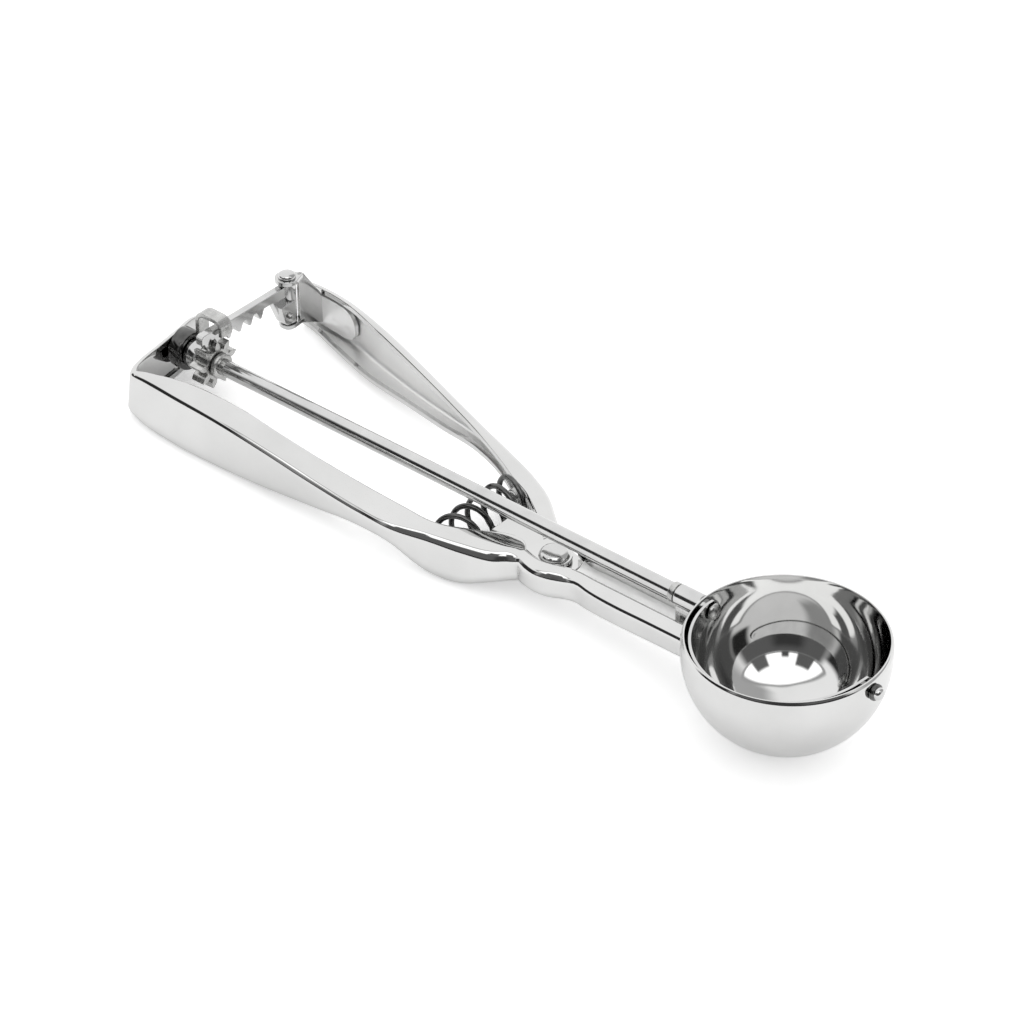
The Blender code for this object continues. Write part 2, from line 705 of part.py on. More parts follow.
def buildRack(rack):
    outline = rackOutline()
    low = RACK_X - RACK_THICKNESS / 2
    bar = part("rack", prism(outline, low, low + RACK_THICKNESS, "X"), rack, "polished")
    bottom = TAB_BOTTOM
    top = UPPER_EAR - GAP
    combine(bar, rod(BARREL_RADIUS, bottom, top, (RACK_X, PIN_Y, 0), "Z"), "UNION")
    tab = arc(TAB_CENTRE, TAB_RADIUS, 180, 360, 10)
    tab += [(TAB_CENTRE[0] + TAB_RADIUS, TAB_TOP), (TAB_CENTRE[0] - TAB_RADIUS - 1.0, TAB_TOP)]
    combine(bar, prism(tab, RACK_X, RACK_X + TAB_FRONT, "X"), "UNION")
    combine(bar, rod(PIN_RADIUS + RUNNING, bottom - 2, top + 2, (RACK_X, PIN_Y, 0), "Z"), "DIFFERENCE")
    face = RACK_X + TAB_FRONT + GAP
    profile = [(0, face), (1.1, face), (1.1, face + 0.3), (0.7, face + 0.7), (0, face + 0.8)]
    part("rack_rivet", turned(profile, (0, *TAB_CENTRE), "X"), rack, "satin")


def involute(angle):
    return math.tan(angle) - angle


def pinionOutline():
    base = PITCH_RADIUS * math.cos(math.radians(PRESSURE_ANGLE))
    outer = PITCH_RADIUS + PINION_ADDENDUM
    at_pitch = math.pi / (2 * TEETH) - TOOTH_THINNING / PITCH_RADIUS
    flank = [(PINION_ROOT, None)] + [(base + (outer - base) * i / 4, None) for i in range(5)]
    half_angles = []
    for radius, _ in flank:
        pressure = math.acos(min(1.0, base / radius))
        half_angles.append(
            (radius, at_pitch + involute(math.radians(PRESSURE_ANGLE)) - involute(pressure))
        )
    outline = []
    for tooth in range(TEETH):
        middle = math.pi / 2 + 2 * math.pi * tooth / TEETH
        sides = [(r, middle - a) for r, a in half_angles]
        sides += [(r, middle + a) for r, a in reversed(half_angles)]
        sides += [(PINION_ROOT, middle + math.pi / TEETH)]
        outline += [(r * math.cos(a), r * math.sin(a)) for r, a in sides]
    return outline


def buildTurningGroup(turning):
    profile = [
        (0, ROD_REAR),
        (ROD_RADIUS - ROD_CHAMFER, ROD_REAR),
        (ROD_RADIUS, ROD_REAR + ROD_CHAMFER),
        (ROD_RADIUS, ROD_FRONT),
        (SPIGOT_RADIUS, ROD_FRONT),
        (SPIGOT_RADIUS, 0.2 - BLADE_RADIUS + BLADE_THICKNESS / 2),
        (0, 0.2 - BLADE_RADIUS + BLADE_THICKNESS / 2),
    ]
    part("scraper_rod", turned(profile, (0, 0, 0), "X"), turning, "polished")
    on_rod = ROD_RADIUS + GAP
    pinion = part("pinion", prism(pinionOutline(), PINION_REAR, PINION_FRONT, "X"), turning, "satin")
    combine(pinion, rod(on_rod, PINION_REAR - 1, PINION_FRONT + 1, (0, 0, 0), "X"), "DIFFERENCE")
    low = PINION_FRONT + GAP
    collar = ring(on_rod, PINION_COLLAR_RADIUS, low, low + PINION_COLLAR_LENGTH, (0, 0, 0), "X", 0.4)
    part("pinion_collar", collar, turning, "satin")
    stop = ring(on_rod, STOP_RADIUS, STOP_REAR, STOP_FRONT, (0, 0, 0), "X")
    part("rod_collar", stop, turning, "satin")
    face = BLADE_THICKNESS / 2 - BLADE_RADIUS + 0.5
    head = SPIGOT_RADIUS + 0.9
    profile = [(0, face), (head, face), (head, face + 0.3), (head - 0.8, face + 0.9), (0, face + 1.1)]
    part("blade_rivet", turned(profile, (0, 0, 0), "X"), turning, "satin")


def buildBlade(turning):
    # The band runs half round inside the bowl and ends in a round eye at each
    # side. It is drawn lying flat on the -Y side, then turned to its rest angle.
    path = []
    for turn in (15, 32, 54, 73):
        half = BLADE_END_HALF * math.sin(math.radians(turn))
        path.append((-90, -BLADE_END_HALF * math.cos(math.radians(turn)), half))
    steps = 26
    for i in range(steps + 1):
        angle = -90 + 180 * i / steps
        half = BLADE_END_HALF + (BLADE_HALF_WIDTH - BLADE_END_HALF) * math.cos(math.radians(angle)) ** 0.6
        path.append((angle, 0.0, half))
    for _, e, half in reversed(path[:4]):
        path.append((90, e, half))
    rest = math.radians(BLADE_REST)
    rings = []
    for angle, beyond, half in path:
        section = []
        for radius, side in ((0.5, 1), (-0.5, 1), (-0.5, -1), (0.5, -1)):
            reach = BLADE_RADIUS + radius * BLADE_THICKNESS
            along = reach * math.sin(math.radians(angle))
            out = reach * math.cos(math.radians(angle)) + beyond
            up = side * half
            section.append(
                (
                    along,
                    -out * math.cos(rest) - up * math.sin(rest),
                    -out * math.sin(rest) + up * math.cos(rest),
                )
            )
        rings.append(section)
    blade = part("blade", loft(rings), turning, "polished")
    for radius, end in ((SPIGOT_RADIUS + GAP, -BLADE_RADIUS), (RIM_PIN_RADIUS + RUNNING, BLADE_RADIUS)):
        combine(blade, rod(radius, end - 2, end + 2, (0, 0, 0), "X"), "DIFFERENCE")


def springPoints():
    # The curls fan out, since the edges that they bear on aren't parallel.
    active = (SPRING_FAR - SPRING_NEAR) / ACTIVE_CURLS
    turns = 2 * END_CURLS + ACTIVE_CURLS
    count = round(turns * CURL_POINTS)
    points = []
    y = SPRING_NEAR - END_CURLS * END_PITCH
    for i in range(count + 1):
        turn = turns * i / count
        angle = 2 * math.pi * (turn - 0.5)
        x = -SPRING_RADIUS * math.cos(angle)
        z = SPRING_RADIUS * math.sin(angle)
        slope = NEAR_SLOPE + (FAR_SLOPE - NEAR_SLOPE) * i / count
        points.append((SPRING_X + x, y + slope * x, SPRING_Z + z))
        middle = turn + turns / count / 2
        at_end = middle < END_CURLS or middle > turns - END_CURLS
        y += (END_PITCH if at_end else active) * turns / count
    return points


def buildSpring(frame):
    points = springPoints()
    curve = bpy.data.curves.new("spring", "CURVE")
    curve.dimensions = "3D"
    curve.bevel_depth = WIRE_RADIUS * MM
    curve.bevel_resolution = 1
    curve.use_fill_caps = True
    spline = curve.splines.new("POLY")
    spline.points.add(len(points) - 1)
    for target, point in zip(spline.points, points):
        target.co = (*(Vector(point) * MM), 1.0)
    spring = bpy.data.objects.new("spring", curve)
    bpy.context.scene.collection.objects.link(spring)
    carry(spring, frame, "wire")
    near = CURL_POINTS // 2
    least = min(
        math.dist(a, b)
        for i, a in enumerate(points)
        for b in points[i + near :]
    )
    print(f"least gap of the spring to itself: {least - 2 * WIRE_RADIUS:.2f} mm")


def restTilt():
    # The floor touches the bowl and the lowest line of the fixed handle.
    curve = stations(WALL_RIBS + CORNER_RIBS + HANDLE_RIBS)
    tilts = []
    for point, normal in zip(curve, inwardNormals(curve)):
        x, _ = plan(point, min(SHOULDER, point[5] - LIP), normal)
        drop = BOWL_CENTRE_Z - point[3]
        tilts.append(math.asin(BOWL_RADIUS / math.hypot(x, drop)) - math.atan2(drop, -x))
    return min(tilts)


def standOnOrigin(root):
    # Puts the origin under the middle of the whole scoop's box.
    bpy.context.view_layer.update()
    graph = bpy.context.evaluated_depsgraph_get()
    low = Vector((1, 1, 1)) * 1e9
    high = -low
    for obj in bpy.context.scene.objects:
        if obj.type == "EMPTY" or obj.hide_render:
            continue
        evaluated = obj.evaluated_get(graph)
        mesh = evaluated.to_mesh()
        for vert in mesh.vertices:
            point = evaluated.matrix_world @ vert.co
            low = Vector(map(min, low, point))
            high = Vector(map(max, high, point))
        evaluated.to_mesh_clear()
    root.location = -Vector(((low.x + high.x) / 2, (low.y + high.y) / 2, low.z))


def main():
    clearScene()
    root = bpy.data.objects.new("scoop", None)
    bpy.context.scene.collection.objects.link(root)
    root.rotation_euler.y = -restTilt()
    frame = axisEmpty("frame_axis", (0, 0, 0), root)
    lever = axisEmpty("lever_axis", (PIVOT_X, 0, TONGUE_TOP), root)
    rack = axisEmpty("rack_axis", (RACK_X, PIN_Y, RACK_TOP), root)
    turning = axisEmpty("turning_axis", (PINION_FRONT, 0, 0), root)
    buildBowl(frame)
    buildFrameShell(frame)
    buildBearings(frame)
    buildPivot(frame)
    buildRimPin(frame)
    springPeg("spring_peg_frame", frame, HANDLE_RIBS, asDrawn, SPRING_NEAR, 1)
    buildLever(lever)
    buildBracket(lever)
    buildRackPin(lever)
    springPeg("spring_peg_lever", lever, LEVER_RIBS, opened, SPRING_FAR, -1)
    buildRack(rack)
    buildTurningGroup(turning)
    buildBlade(turning)
    buildSpring(frame)
    standOnOrigin(root)


main()
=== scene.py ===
import json
import math

import bmesh
import bpy
from mathutils import Matrix, Vector


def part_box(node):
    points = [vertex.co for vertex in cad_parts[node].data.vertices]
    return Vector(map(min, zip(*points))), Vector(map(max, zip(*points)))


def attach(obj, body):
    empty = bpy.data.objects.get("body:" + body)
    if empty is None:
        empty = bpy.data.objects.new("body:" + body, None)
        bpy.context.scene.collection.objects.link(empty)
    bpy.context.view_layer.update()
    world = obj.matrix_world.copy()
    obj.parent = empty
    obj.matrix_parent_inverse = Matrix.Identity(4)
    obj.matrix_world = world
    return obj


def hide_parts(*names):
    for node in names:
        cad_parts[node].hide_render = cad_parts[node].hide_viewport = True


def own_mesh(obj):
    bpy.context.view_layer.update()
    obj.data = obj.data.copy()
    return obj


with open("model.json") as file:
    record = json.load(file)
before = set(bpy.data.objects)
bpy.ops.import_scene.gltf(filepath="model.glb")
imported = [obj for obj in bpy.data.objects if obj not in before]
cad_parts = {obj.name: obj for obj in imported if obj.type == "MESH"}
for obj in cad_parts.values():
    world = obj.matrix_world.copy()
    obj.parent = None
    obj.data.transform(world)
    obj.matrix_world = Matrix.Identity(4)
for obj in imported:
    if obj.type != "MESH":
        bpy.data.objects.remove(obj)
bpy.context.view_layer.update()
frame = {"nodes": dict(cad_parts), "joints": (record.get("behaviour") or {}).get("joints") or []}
print("frame loaded:", len(frame["nodes"]), "nodes")

# Sizes are in millimetres in the scoop's own frame: X runs along the rod towards
# the bowl, Z up the lever's rivet, and the bowl is at x = 0.
sheetSteel = {
    "thickness": 1.2, "shoulder": 2.4, "edge": 0.5, "lip": 1.6, "step": 1.5, "leastFlat": 0.3, "edgeShare": 0.8,
    "wallRow": 20, "squareUntil": -94.0, "turnOver": 10.0,
}
pivot = {"x": -72.0, "top": -7.0, "open": 9.0, "eye": 4.6, "below": 1.2}
mergeGap = 0.0005
hinges = {joint["name"]: joint for joint in frame["joints"]}
rodAxis = Vector(hinges["scraper_turn"]["axis"]).normalized()
rivetAxis = Vector(hinges["lever_squeeze"]["axis"]).normalized()
turnInPlace = Matrix((rodAxis, rivetAxis.cross(rodAxis), rivetAxis)).transposed()
bowlToRivet = turnInPlace @ Vector((pivot["x"], 0, pivot["top"])) * 0.001
bowlCentre = Vector(hinges["lever_squeeze"]["pos_m"]) - bowlToRivet
place = Matrix.Translation(bowlCentre) @ turnInPlace.to_4x4() @ Matrix.Scale(0.001, 4)
leanBack = math.atan2(rodAxis.z, rodAxis.x)


# Bare steel in three finishes, a rough inner skin with painted light, and steel painted dark as a painted
# reflection

def mixedValue(tree, source, low, high):
    spread = tree.nodes.new("ShaderNodeMapRange")
    spread.inputs["To Min"].default_value = low
    spread.inputs["To Max"].default_value = high
    tree.links.new(source, spread.inputs["Value"])
    return spread.outputs["Result"]


def noiseOn(tree, stretch, scale, detail):
    where = tree.nodes.new("ShaderNodeTexCoord")
    turn = tree.nodes.new("ShaderNodeMapping")
    turn.inputs["Rotation"].default_value = (0, leanBack, 0)
    turn.inputs["Scale"].default_value = stretch
    tree.links.new(where.outputs["Object"], turn.inputs["Vector"])
    noise = tree.nodes.new("ShaderNodeTexNoise")
    noise.inputs["Scale"].default_value = scale
    noise.inputs["Detail"].default_value = detail
    tree.links.new(turn.outputs["Vector"], noise.inputs["Vector"])
    return noise.outputs["Fac"]


clouding = {"tone": (-0.3, 1.5), "roughness": (0.6, 1.4), "waveDepth": 0.0004}


def makeSteelLook(name, look):
    # Bare steel: cloudy roughness, fine polishing or grinding lines, a slightly uneven surface
    material = bpy.data.materials.new(name)
    material.use_nodes = True
    tree = material.node_tree
    shader = tree.nodes["Principled BSDF"]
    shader.inputs["Metallic"].default_value = 1.0
    cloud = noiseOn(tree, (1, 1, 1), look["cloudScale"], 4)
    lines = noiseOn(tree, look["lineStretch"], look["lineScale"], 6)
    tone = tree.nodes.new("ShaderNodeMix")
    tone.data_type = "RGBA"
    tone.inputs["A"].default_value = (*look["dark"], 1)
    tone.inputs["B"].default_value = (*look["light"], 1)
    tree.links.new(mixedValue(tree, cloud, *clouding["tone"]), tone.inputs["Factor"])
    tree.links.new(tone.outputs["Result"], shader.inputs["Base Color"])
    both = tree.nodes.new("ShaderNodeMath")
    both.operation = "MULTIPLY"
    tree.links.new(mixedValue(tree, cloud, *clouding["roughness"]), both.inputs[0])
    tree.links.new(mixedValue(tree, lines, look["smooth"], look["rough"]), both.inputs[1])
    tree.links.new(both.outputs["Value"], shader.inputs["Roughness"])
    height = tree.nodes.new("ShaderNodeBump")
    height.inputs["Strength"].default_value = look["bump"]
    height.inputs["Distance"].default_value = look["depth"]
    tree.links.new(lines, height.inputs["Height"])
    wave = tree.nodes.new("ShaderNodeBump")
    wave.inputs["Strength"].default_value = look["wave"]
    wave.inputs["Distance"].default_value = clouding["waveDepth"]
    tree.links.new(noiseOn(tree, (1, 1, 1), look["waveScale"], 1), wave.inputs["Height"])
    tree.links.new(height.outputs["Normal"], wave.inputs["Normal"])
    tree.links.new(wave.outputs["Normal"], shader.inputs["Normal"])
    return material


steelLooks = {
    "mirror_steel": {
        "dark": (0.62, 0.62, 0.615), "light": (0.7, 0.7, 0.695), "smooth": 0.03, "rough": 0.08,
        "cloudScale": 55, "lineStretch": (0.08, 1, 1), "lineScale": 2500, "bump": 0.05, "depth": 0.00001,
        "wave": 0.03, "waveScale": 45,
    },
    "polished_steel": {
        "dark": (0.55, 0.55, 0.55), "light": (0.66, 0.66, 0.655), "smooth": 0.07, "rough": 0.16,
        "cloudScale": 160, "lineStretch": (0.05, 1, 1), "lineScale": 2200, "bump": 0.12, "depth": 0.00002,
        "wave": 0.02, "waveScale": 90,
    },
    "satin_steel": {
        "dark": (0.36, 0.36, 0.355), "light": (0.62, 0.62, 0.61), "smooth": 0.16, "rough": 0.36,
        "cloudScale": 420, "lineStretch": (1, 0.3, 1), "lineScale": 2600, "bump": 0.3, "depth": 0.00004,
        "wave": 0.12, "waveScale": 420,
    },
    # Inner faces: rougher than the polish, and toned far lighter than steel as painted light, so they show
    # white
    "rough_inside_painted_light": {
        "dark": (0.88, 0.88, 0.875), "light": (0.96, 0.96, 0.955), "smooth": 0.36, "rough": 0.52,
        "cloudScale": 120, "lineStretch": (0.2, 1, 1), "lineScale": 1800, "bump": 0.2, "depth": 0.00002,
        "wave": 0.04, "waveScale": 120,
    },
    # Steel toned near black as a painted dark reflection of the room, for the spring, the rear bearing's drum
    # and the rim collar
    "spring_wire": {
        "dark": (0.05, 0.05, 0.05), "light": (0.15, 0.15, 0.148), "smooth": 0.08, "rough": 0.16,
        "cloudScale": 300, "lineStretch": (1, 1, 1), "lineScale": 3000, "bump": 0.15, "depth": 0.00002,
        "wave": 0.03, "waveScale": 300,
    },
}
steels = {name: makeSteelLook(name + "Finish", look) for name, look in steelLooks.items()}
print("materials made:", len(steels))


# Shaping tools

def finishPiece(bm, name, body, steel, standsFor=(), look=None, sharp=40):
    bmesh.ops.transform(bm, matrix=place, verts=bm.verts[:])
    mesh = bpy.data.meshes.new(name)
    bm.to_mesh(mesh)
    bm.free()
    mesh.shade_smooth()
    mesh.set_sharp_from_angle(angle=math.radians(sharp))
    mesh.materials.append(steels[look or steel])
    piece = bpy.data.objects.new(name, mesh)
    bpy.context.scene.collection.objects.link(piece)
    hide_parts(*standsFor)
    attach(piece, body)
    return piece


def thicken(piece, thickness, offset=-1):
    solid = piece.modifiers.new("thickness", "SOLIDIFY")
    solid.thickness = thickness * 0.001
    solid.offset = offset
    solid.use_even_offset = True
    solid.use_quality_normals = True
    return piece


def softenEdges(piece, width, segments=3, angle=40):
    bevel = piece.modifiers.new("softEdges", "BEVEL")
    bevel.width = width * 0.001
    bevel.segments = segments
    bevel.limit_method = "ANGLE"
    bevel.angle_limit = math.radians(angle)
    bevel.harden_normals = True
    return piece


def arcPoints(centre, radius, start, end, steps):
    points = []
    for i in range(steps + 1):
        angle = math.radians(start + (end - start) * i / steps)
        points.append((centre[0] + radius * math.cos(angle), centre[1] + radius * math.sin(angle)))
    return points


def straight(start, end, steps):
    return [tuple(a + (b - a) * i / steps for a, b in zip(start, end)) for i in range(1, steps)]


def onAxis(axis, a, b, along):
    return {"X": (along, a, b), "Y": (b, along, a), "Z": (a, b, along)}[axis]


def turnProfile(profile, axis="X", centre=(0, 0, 0), steps=72):
    # A profile of (radius, distance) goes once round the axis
    bm = bmesh.new()
    middle = Vector(centre)
    line = [bm.verts.new(middle + Vector(onAxis(axis, radius, 0, along))) for radius, along in profile]
    edges = [bm.edges.new(pair) for pair in zip(line, line[1:])]
    bmesh.ops.spin(
        bm, geom=line + edges, cent=middle, axis=onAxis(axis, 0, 0, 1), angle=math.tau, steps=steps,
        use_merge=True,
    )
    bmesh.ops.remove_doubles(bm, verts=bm.verts[:], dist=mergeGap)
    bmesh.ops.recalc_face_normals(bm, faces=bm.faces[:])
    return bm


def cutPlate(outline, low, high, axis="Z"):
    bm = bmesh.new()
    blank = bm.faces.new([bm.verts.new(onAxis(axis, a, b, low)) for a, b in outline])
    grown = bmesh.ops.extrude_face_region(bm, geom=[blank])
    raised = [item for item in grown["geom"] if isinstance(item, bmesh.types.BMVert)]
    bmesh.ops.translate(bm, verts=raised, vec=onAxis(axis, 0, 0, high - low))
    bmesh.ops.recalc_face_normals(bm, faces=bm.faces[:])
    return bm


def bendBlank(columns, rows, bend, outward=None):
    # A flat blank of columns by rows, with each corner of its grid bent to its place
    bm = bmesh.new()
    bmesh.ops.create_grid(bm, x_segments=columns - 1, y_segments=rows - 1, size=1)
    for vert in bm.verts:
        vert.co = bend(round((vert.co.x + 1) / 2 * (columns - 1)), round((vert.co.y + 1) / 2 * (rows - 1)))
    if outward is not None:
        bm.normal_update()
        bm.faces.ensure_lookup_table()
        if outward(bm) < 0:
            bmesh.ops.reverse_faces(bm, faces=bm.faces[:])
    return bm


def addTo(bm, other):
    # Puts another shape's mesh in the same piece
    mesh = bpy.data.meshes.new("part")
    other.to_mesh(mesh)
    other.free()
    bm.from_mesh(mesh)
    bpy.data.meshes.remove(mesh)
    return bm


def opened(x, y):
    # The lever is drawn closed as the mirror of the fixed handle, then swung open
    angle = math.radians(pivot["open"])
    along, across = x - pivot["x"], -y
    return (
        pivot["x"] + along * math.cos(angle) + across * math.sin(angle),
        -along * math.sin(angle) + across * math.cos(angle),
    )


def asDrawn(x, y):
    return x, y


def mirrored(x, y):
    return x, -y


def smoothRibs(ribs, step):
    # A smooth run through the ribs, with a rib about every step
    lengths = [math.dist(a[:2], b[:2]) for a, b in zip(ribs, ribs[1:])]
    slopes = []
    for i in range(len(ribs)):
        before, after = max(i - 1, 0), min(i, len(lengths) - 1)
        weight = lengths[before] / (lengths[before] + lengths[after])
        slopes.append([
            (ribs[before + 1][k] - ribs[before][k]) / lengths[before] * (1 - weight)
            + (ribs[after + 1][k] - ribs[after][k]) / lengths[after] * weight
            for k in range(len(ribs[i]))
        ])
    run = []
    for i, length in enumerate(lengths):
        count = max(2, math.ceil(length / step))
        for t in [j / count for j in range(count)]:
            run.append([
                (2 * t**3 - 3 * t**2 + 1) * ribs[i][k] + (t**3 - 2 * t**2 + t) * length * slopes[i][k]
                + (3 * t**2 - 2 * t**3) * ribs[i + 1][k] + (t**3 - t**2) * length * slopes[i + 1][k]
                for k in range(len(ribs[i]))
            ])
    return run + [list(ribs[-1])]


def inwardAlong(run):
    # Square to the wall along a handle, and straight across on the neck
    directions = []
    for i, rib in enumerate(run):
        back, ahead = run[max(i - 1, 0)], run[min(i + 1, len(run) - 1)]
        along = Vector((ahead[0] - back[0], ahead[1] - back[1])).normalized()
        across = min(1.0, max(0.0, (rib[0] - sheetSteel["squareUntil"]) / sheetSteel["turnOver"]))
        directions.append(Vector((-along.y, along.x)).lerp(Vector((0.0, 1.0)), across).normalized())
    return directions


def pressedLine(top, bottom, wideTop, wideBottom, lip, lean=0.0, shoulder=sheetSteel["shoulder"], fall=0.0):
    # The outer skin of one rib, as (depth, height) from the lower lip to the upper one
    upper = min(shoulder, wideTop - lean - sheetSteel["leastFlat"])
    lower = min(sheetSteel["shoulder"], wideBottom - sheetSteel["leastFlat"])
    upperEdge = min(sheetSteel["edge"], sheetSteel["edgeShare"] * (wideTop - lean - upper))
    lowerEdge = min(sheetSteel["edge"], sheetSteel["edgeShare"] * (wideBottom - lower))
    foot, head = Vector((lower, bottom + lower)), Vector((lean + upper, top - fall - upper))
    rise = head - foot
    tipped = math.degrees(math.atan2(rise.x, rise.y) + math.asin((lower - upper) / rise.length))
    line = [(wideBottom, bottom + sheetSteel["lip"])]
    line += arcPoints((wideBottom - lowerEdge, bottom + lowerEdge), lowerEdge, 0, -90, 4)
    line += straight((wideBottom - lowerEdge, bottom), (lower, bottom), 4)
    lowerArc = arcPoints(foot, lower, 270, 180 - tipped, 10)
    slant = math.degrees(math.atan2(fall, wideTop - lean - upper))
    upperArc = arcPoints(head, upper, 180 - tipped, 90 + slant, 12)
    line += lowerArc + straight(lowerArc[-1], upperArc[0], 8) + upperArc
    line += straight(upperArc[-1], (wideTop - upperEdge, top), 6)
    line += arcPoints((wideTop - upperEdge, top - upperEdge), upperEdge, 90, 0, 4)
    line += [(wideTop, top - lip)]
    return line


def pressChannel(ribs, placeRib, bowlReach=None):
    # A strip of sheet pressed into a channel along the ribs
    run = smoothRibs(ribs, sheetSteel["step"])
    inward = inwardAlong(run)
    lines = [pressedLine(*rib[2:]) for rib in run]

    def bend(column, row):
        depth, height = lines[column][row]
        x = run[column][0] + inward[column].x * depth
        y = run[column][1] + inward[column].y * depth
        x, y = placeRib(x, y)
        if bowlReach and x > bowlReach["from"]:
            end = -math.sqrt(bowlReach["radius"] ** 2 - y**2 - (height - bowlReach["level"]) ** 2)
            share = (x - bowlReach["from"]) / (bowlReach["drawnTo"] - bowlReach["from"])
            x = bowlReach["from"] + share * (end - bowlReach["from"])
        return x, y, height

    def outward(bm):
        # The flat top faces up
        wallFoot = lines[len(run) // 2][sheetSteel["wallRow"]][1]
        return sum(face.normal.z for face in bm.faces if face.calc_center_median().z > wallFoot)

    return bendBlank(len(run), len(lines[0]), bend, outward), run, inward


def insideLine(run, inward, depth, first, last):
    return [
        (rib[0] + way.x * depth(rib), rib[1] + way.y * depth(rib))
        for rib, way in zip(run, inward)
        if first <= rib[0] <= last
    ]


# Fixed handle, end wall and neck, pressed from one sheet

frameShell = {
    # y, top, bottom
    "wall": [(9.4, 3.6, -6.4), (7.0, 4.3, -8.4), (1.0, 4.3, -8.96), (-8.0, 4.2, -9.0), (-16.0, 4.1, -8.9)],
    "wallX": -202.49, "wallLean": 0.156, "wallEdge": 2.0, "wallShoulder": 1.7, "soft": 0.3,
    # x, y, top, bottom, top flange, bottom flange, lip, lean of the wall, shoulder, fall of the top flange
    "corner": [
        (-199.5, -19.2, 4.1, -8.8, 2.5, 2.4, 1.6, 0.5, 1.7, 0.0),
        (-197.7, -22.3, 4.1, -8.7, 3.0, 2.8, 1.6, 1.0, 1.7, 0.0),
    ],
    "handle": [
        (-193.2, -23.7, 4.1, -9.3, 5.6, 4.6, 1.6, 2.2, 2.2, 0.0),
        (-182.0, -24.3, 4.0, -10.5, 9.0, 7.2, 1.6, 2.3, 2.4, 0.0),
        (-165.0, -23.2, 3.2, -11.7, 9.3, 8.2, 1.6, 1.2, 2.4, 0.0),
        (-150.0, -22.0, 0.9, -11.9, 8.6, 7.9, 1.6, 0.7, 2.4, 0.0),
        (-135.0, -20.6, -2.0, -11.6, 8.4, 6.8, 1.6, 0.2, 2.4, 0.0),
        (-120.0, -19.6, -4.2, -11.0, 8.6, 5.8, 1.6, 0.0, 2.4, 0.0),
        (-110.0, -18.8, -5.0, -12.3, 8.3, 4.8, 1.6, 0.0, 2.6, 0.0),
        (-100.5, -16.9, -5.4, -16.9, 7.0, 4.2, 1.6, 1.1, 3.4, 0.0),
        (-91.0, -14.6, -5.5, -17.7, 8.8, 4.0, 1.4, 1.1, 4.2, 0.0),
        (-83.0, -11.7, -5.5, -15.1, 10.4, 3.6, 1.4, 0.6, 4.2, 0.0),
    ],
    "boss": [
        (-78.6, -8.5, -5.5, -14.2, 5.6, 3.0, 1.4, 0.2, 3.2, 0.2),
        (-77.5, -8.0, -5.5, -14.0, 3.8, 3.0, 1.6, 0.0, 2.8, 0.3),
        (-76.3, -8.4, -5.5, -14.0, 3.8, 3.0, 1.8, 0.0, 2.8, 0.4),
        (-72.0, -9.0, -5.5, -14.2, 3.7, 3.0, 2.2, 0.0, 3.0, 0.4),
    ],
    "neck": [
        (-68.0, -8.5, -5.5, -14.2, 4.2, 3.0, 2.4, 0.2, 3.0, 0.4),
        (-64.0, -6.7, -5.5, -14.0, 3.9, 2.6, 2.4, 0.2, 2.8, 0.6),
        (-61.2, -5.9, -5.5, -13.8, 3.4, 2.2, 2.4, 0.0, 2.2, 0.6),
        (-57.0, -6.4, -5.5, -13.6, 3.8, 2.0, 2.4, 0.0, 2.0, 0.8),
        (-50.0, -6.7, -5.5, -13.5, 4.1, 2.0, 2.4, 0.0, 2.2, 0.9),
        (-38.0, -6.6, -5.5, -13.4, 4.0, 2.0, 2.4, 0.0, 2.2, 0.9),
        (-22.0, -6.5, -5.5, -13.3, 3.9, 2.0, 2.4, 0.0, 2.2, 0.9),
    ],
    "trough": {
        "from": -65.0, "to": -24.6, "half": 3.3, "edge": -7.0, "floor": -8.45, "columns": 61, "rows": 17,
    },
    "floorTop": -8.5, "floorBottom": -9.7, "floorFrom": -79.0, "floorRear": (-80.5, 2.5), "floorSoft": 0.2,
    "bowlReach": {"from": -40.0, "drawnTo": -22.0, "radius": 25.45, "level": -1.0},
}


def wallRibs(size):
    edge, lip, shoulder = size["wallEdge"], sheetSteel["lip"], size["wallShoulder"]
    return [
        (size["wallX"] - size["wallLean"] * y, y, top, bottom, edge, edge, lip, 0.0, shoulder, 0.0)
        for y, top, bottom in size["wall"]
    ]


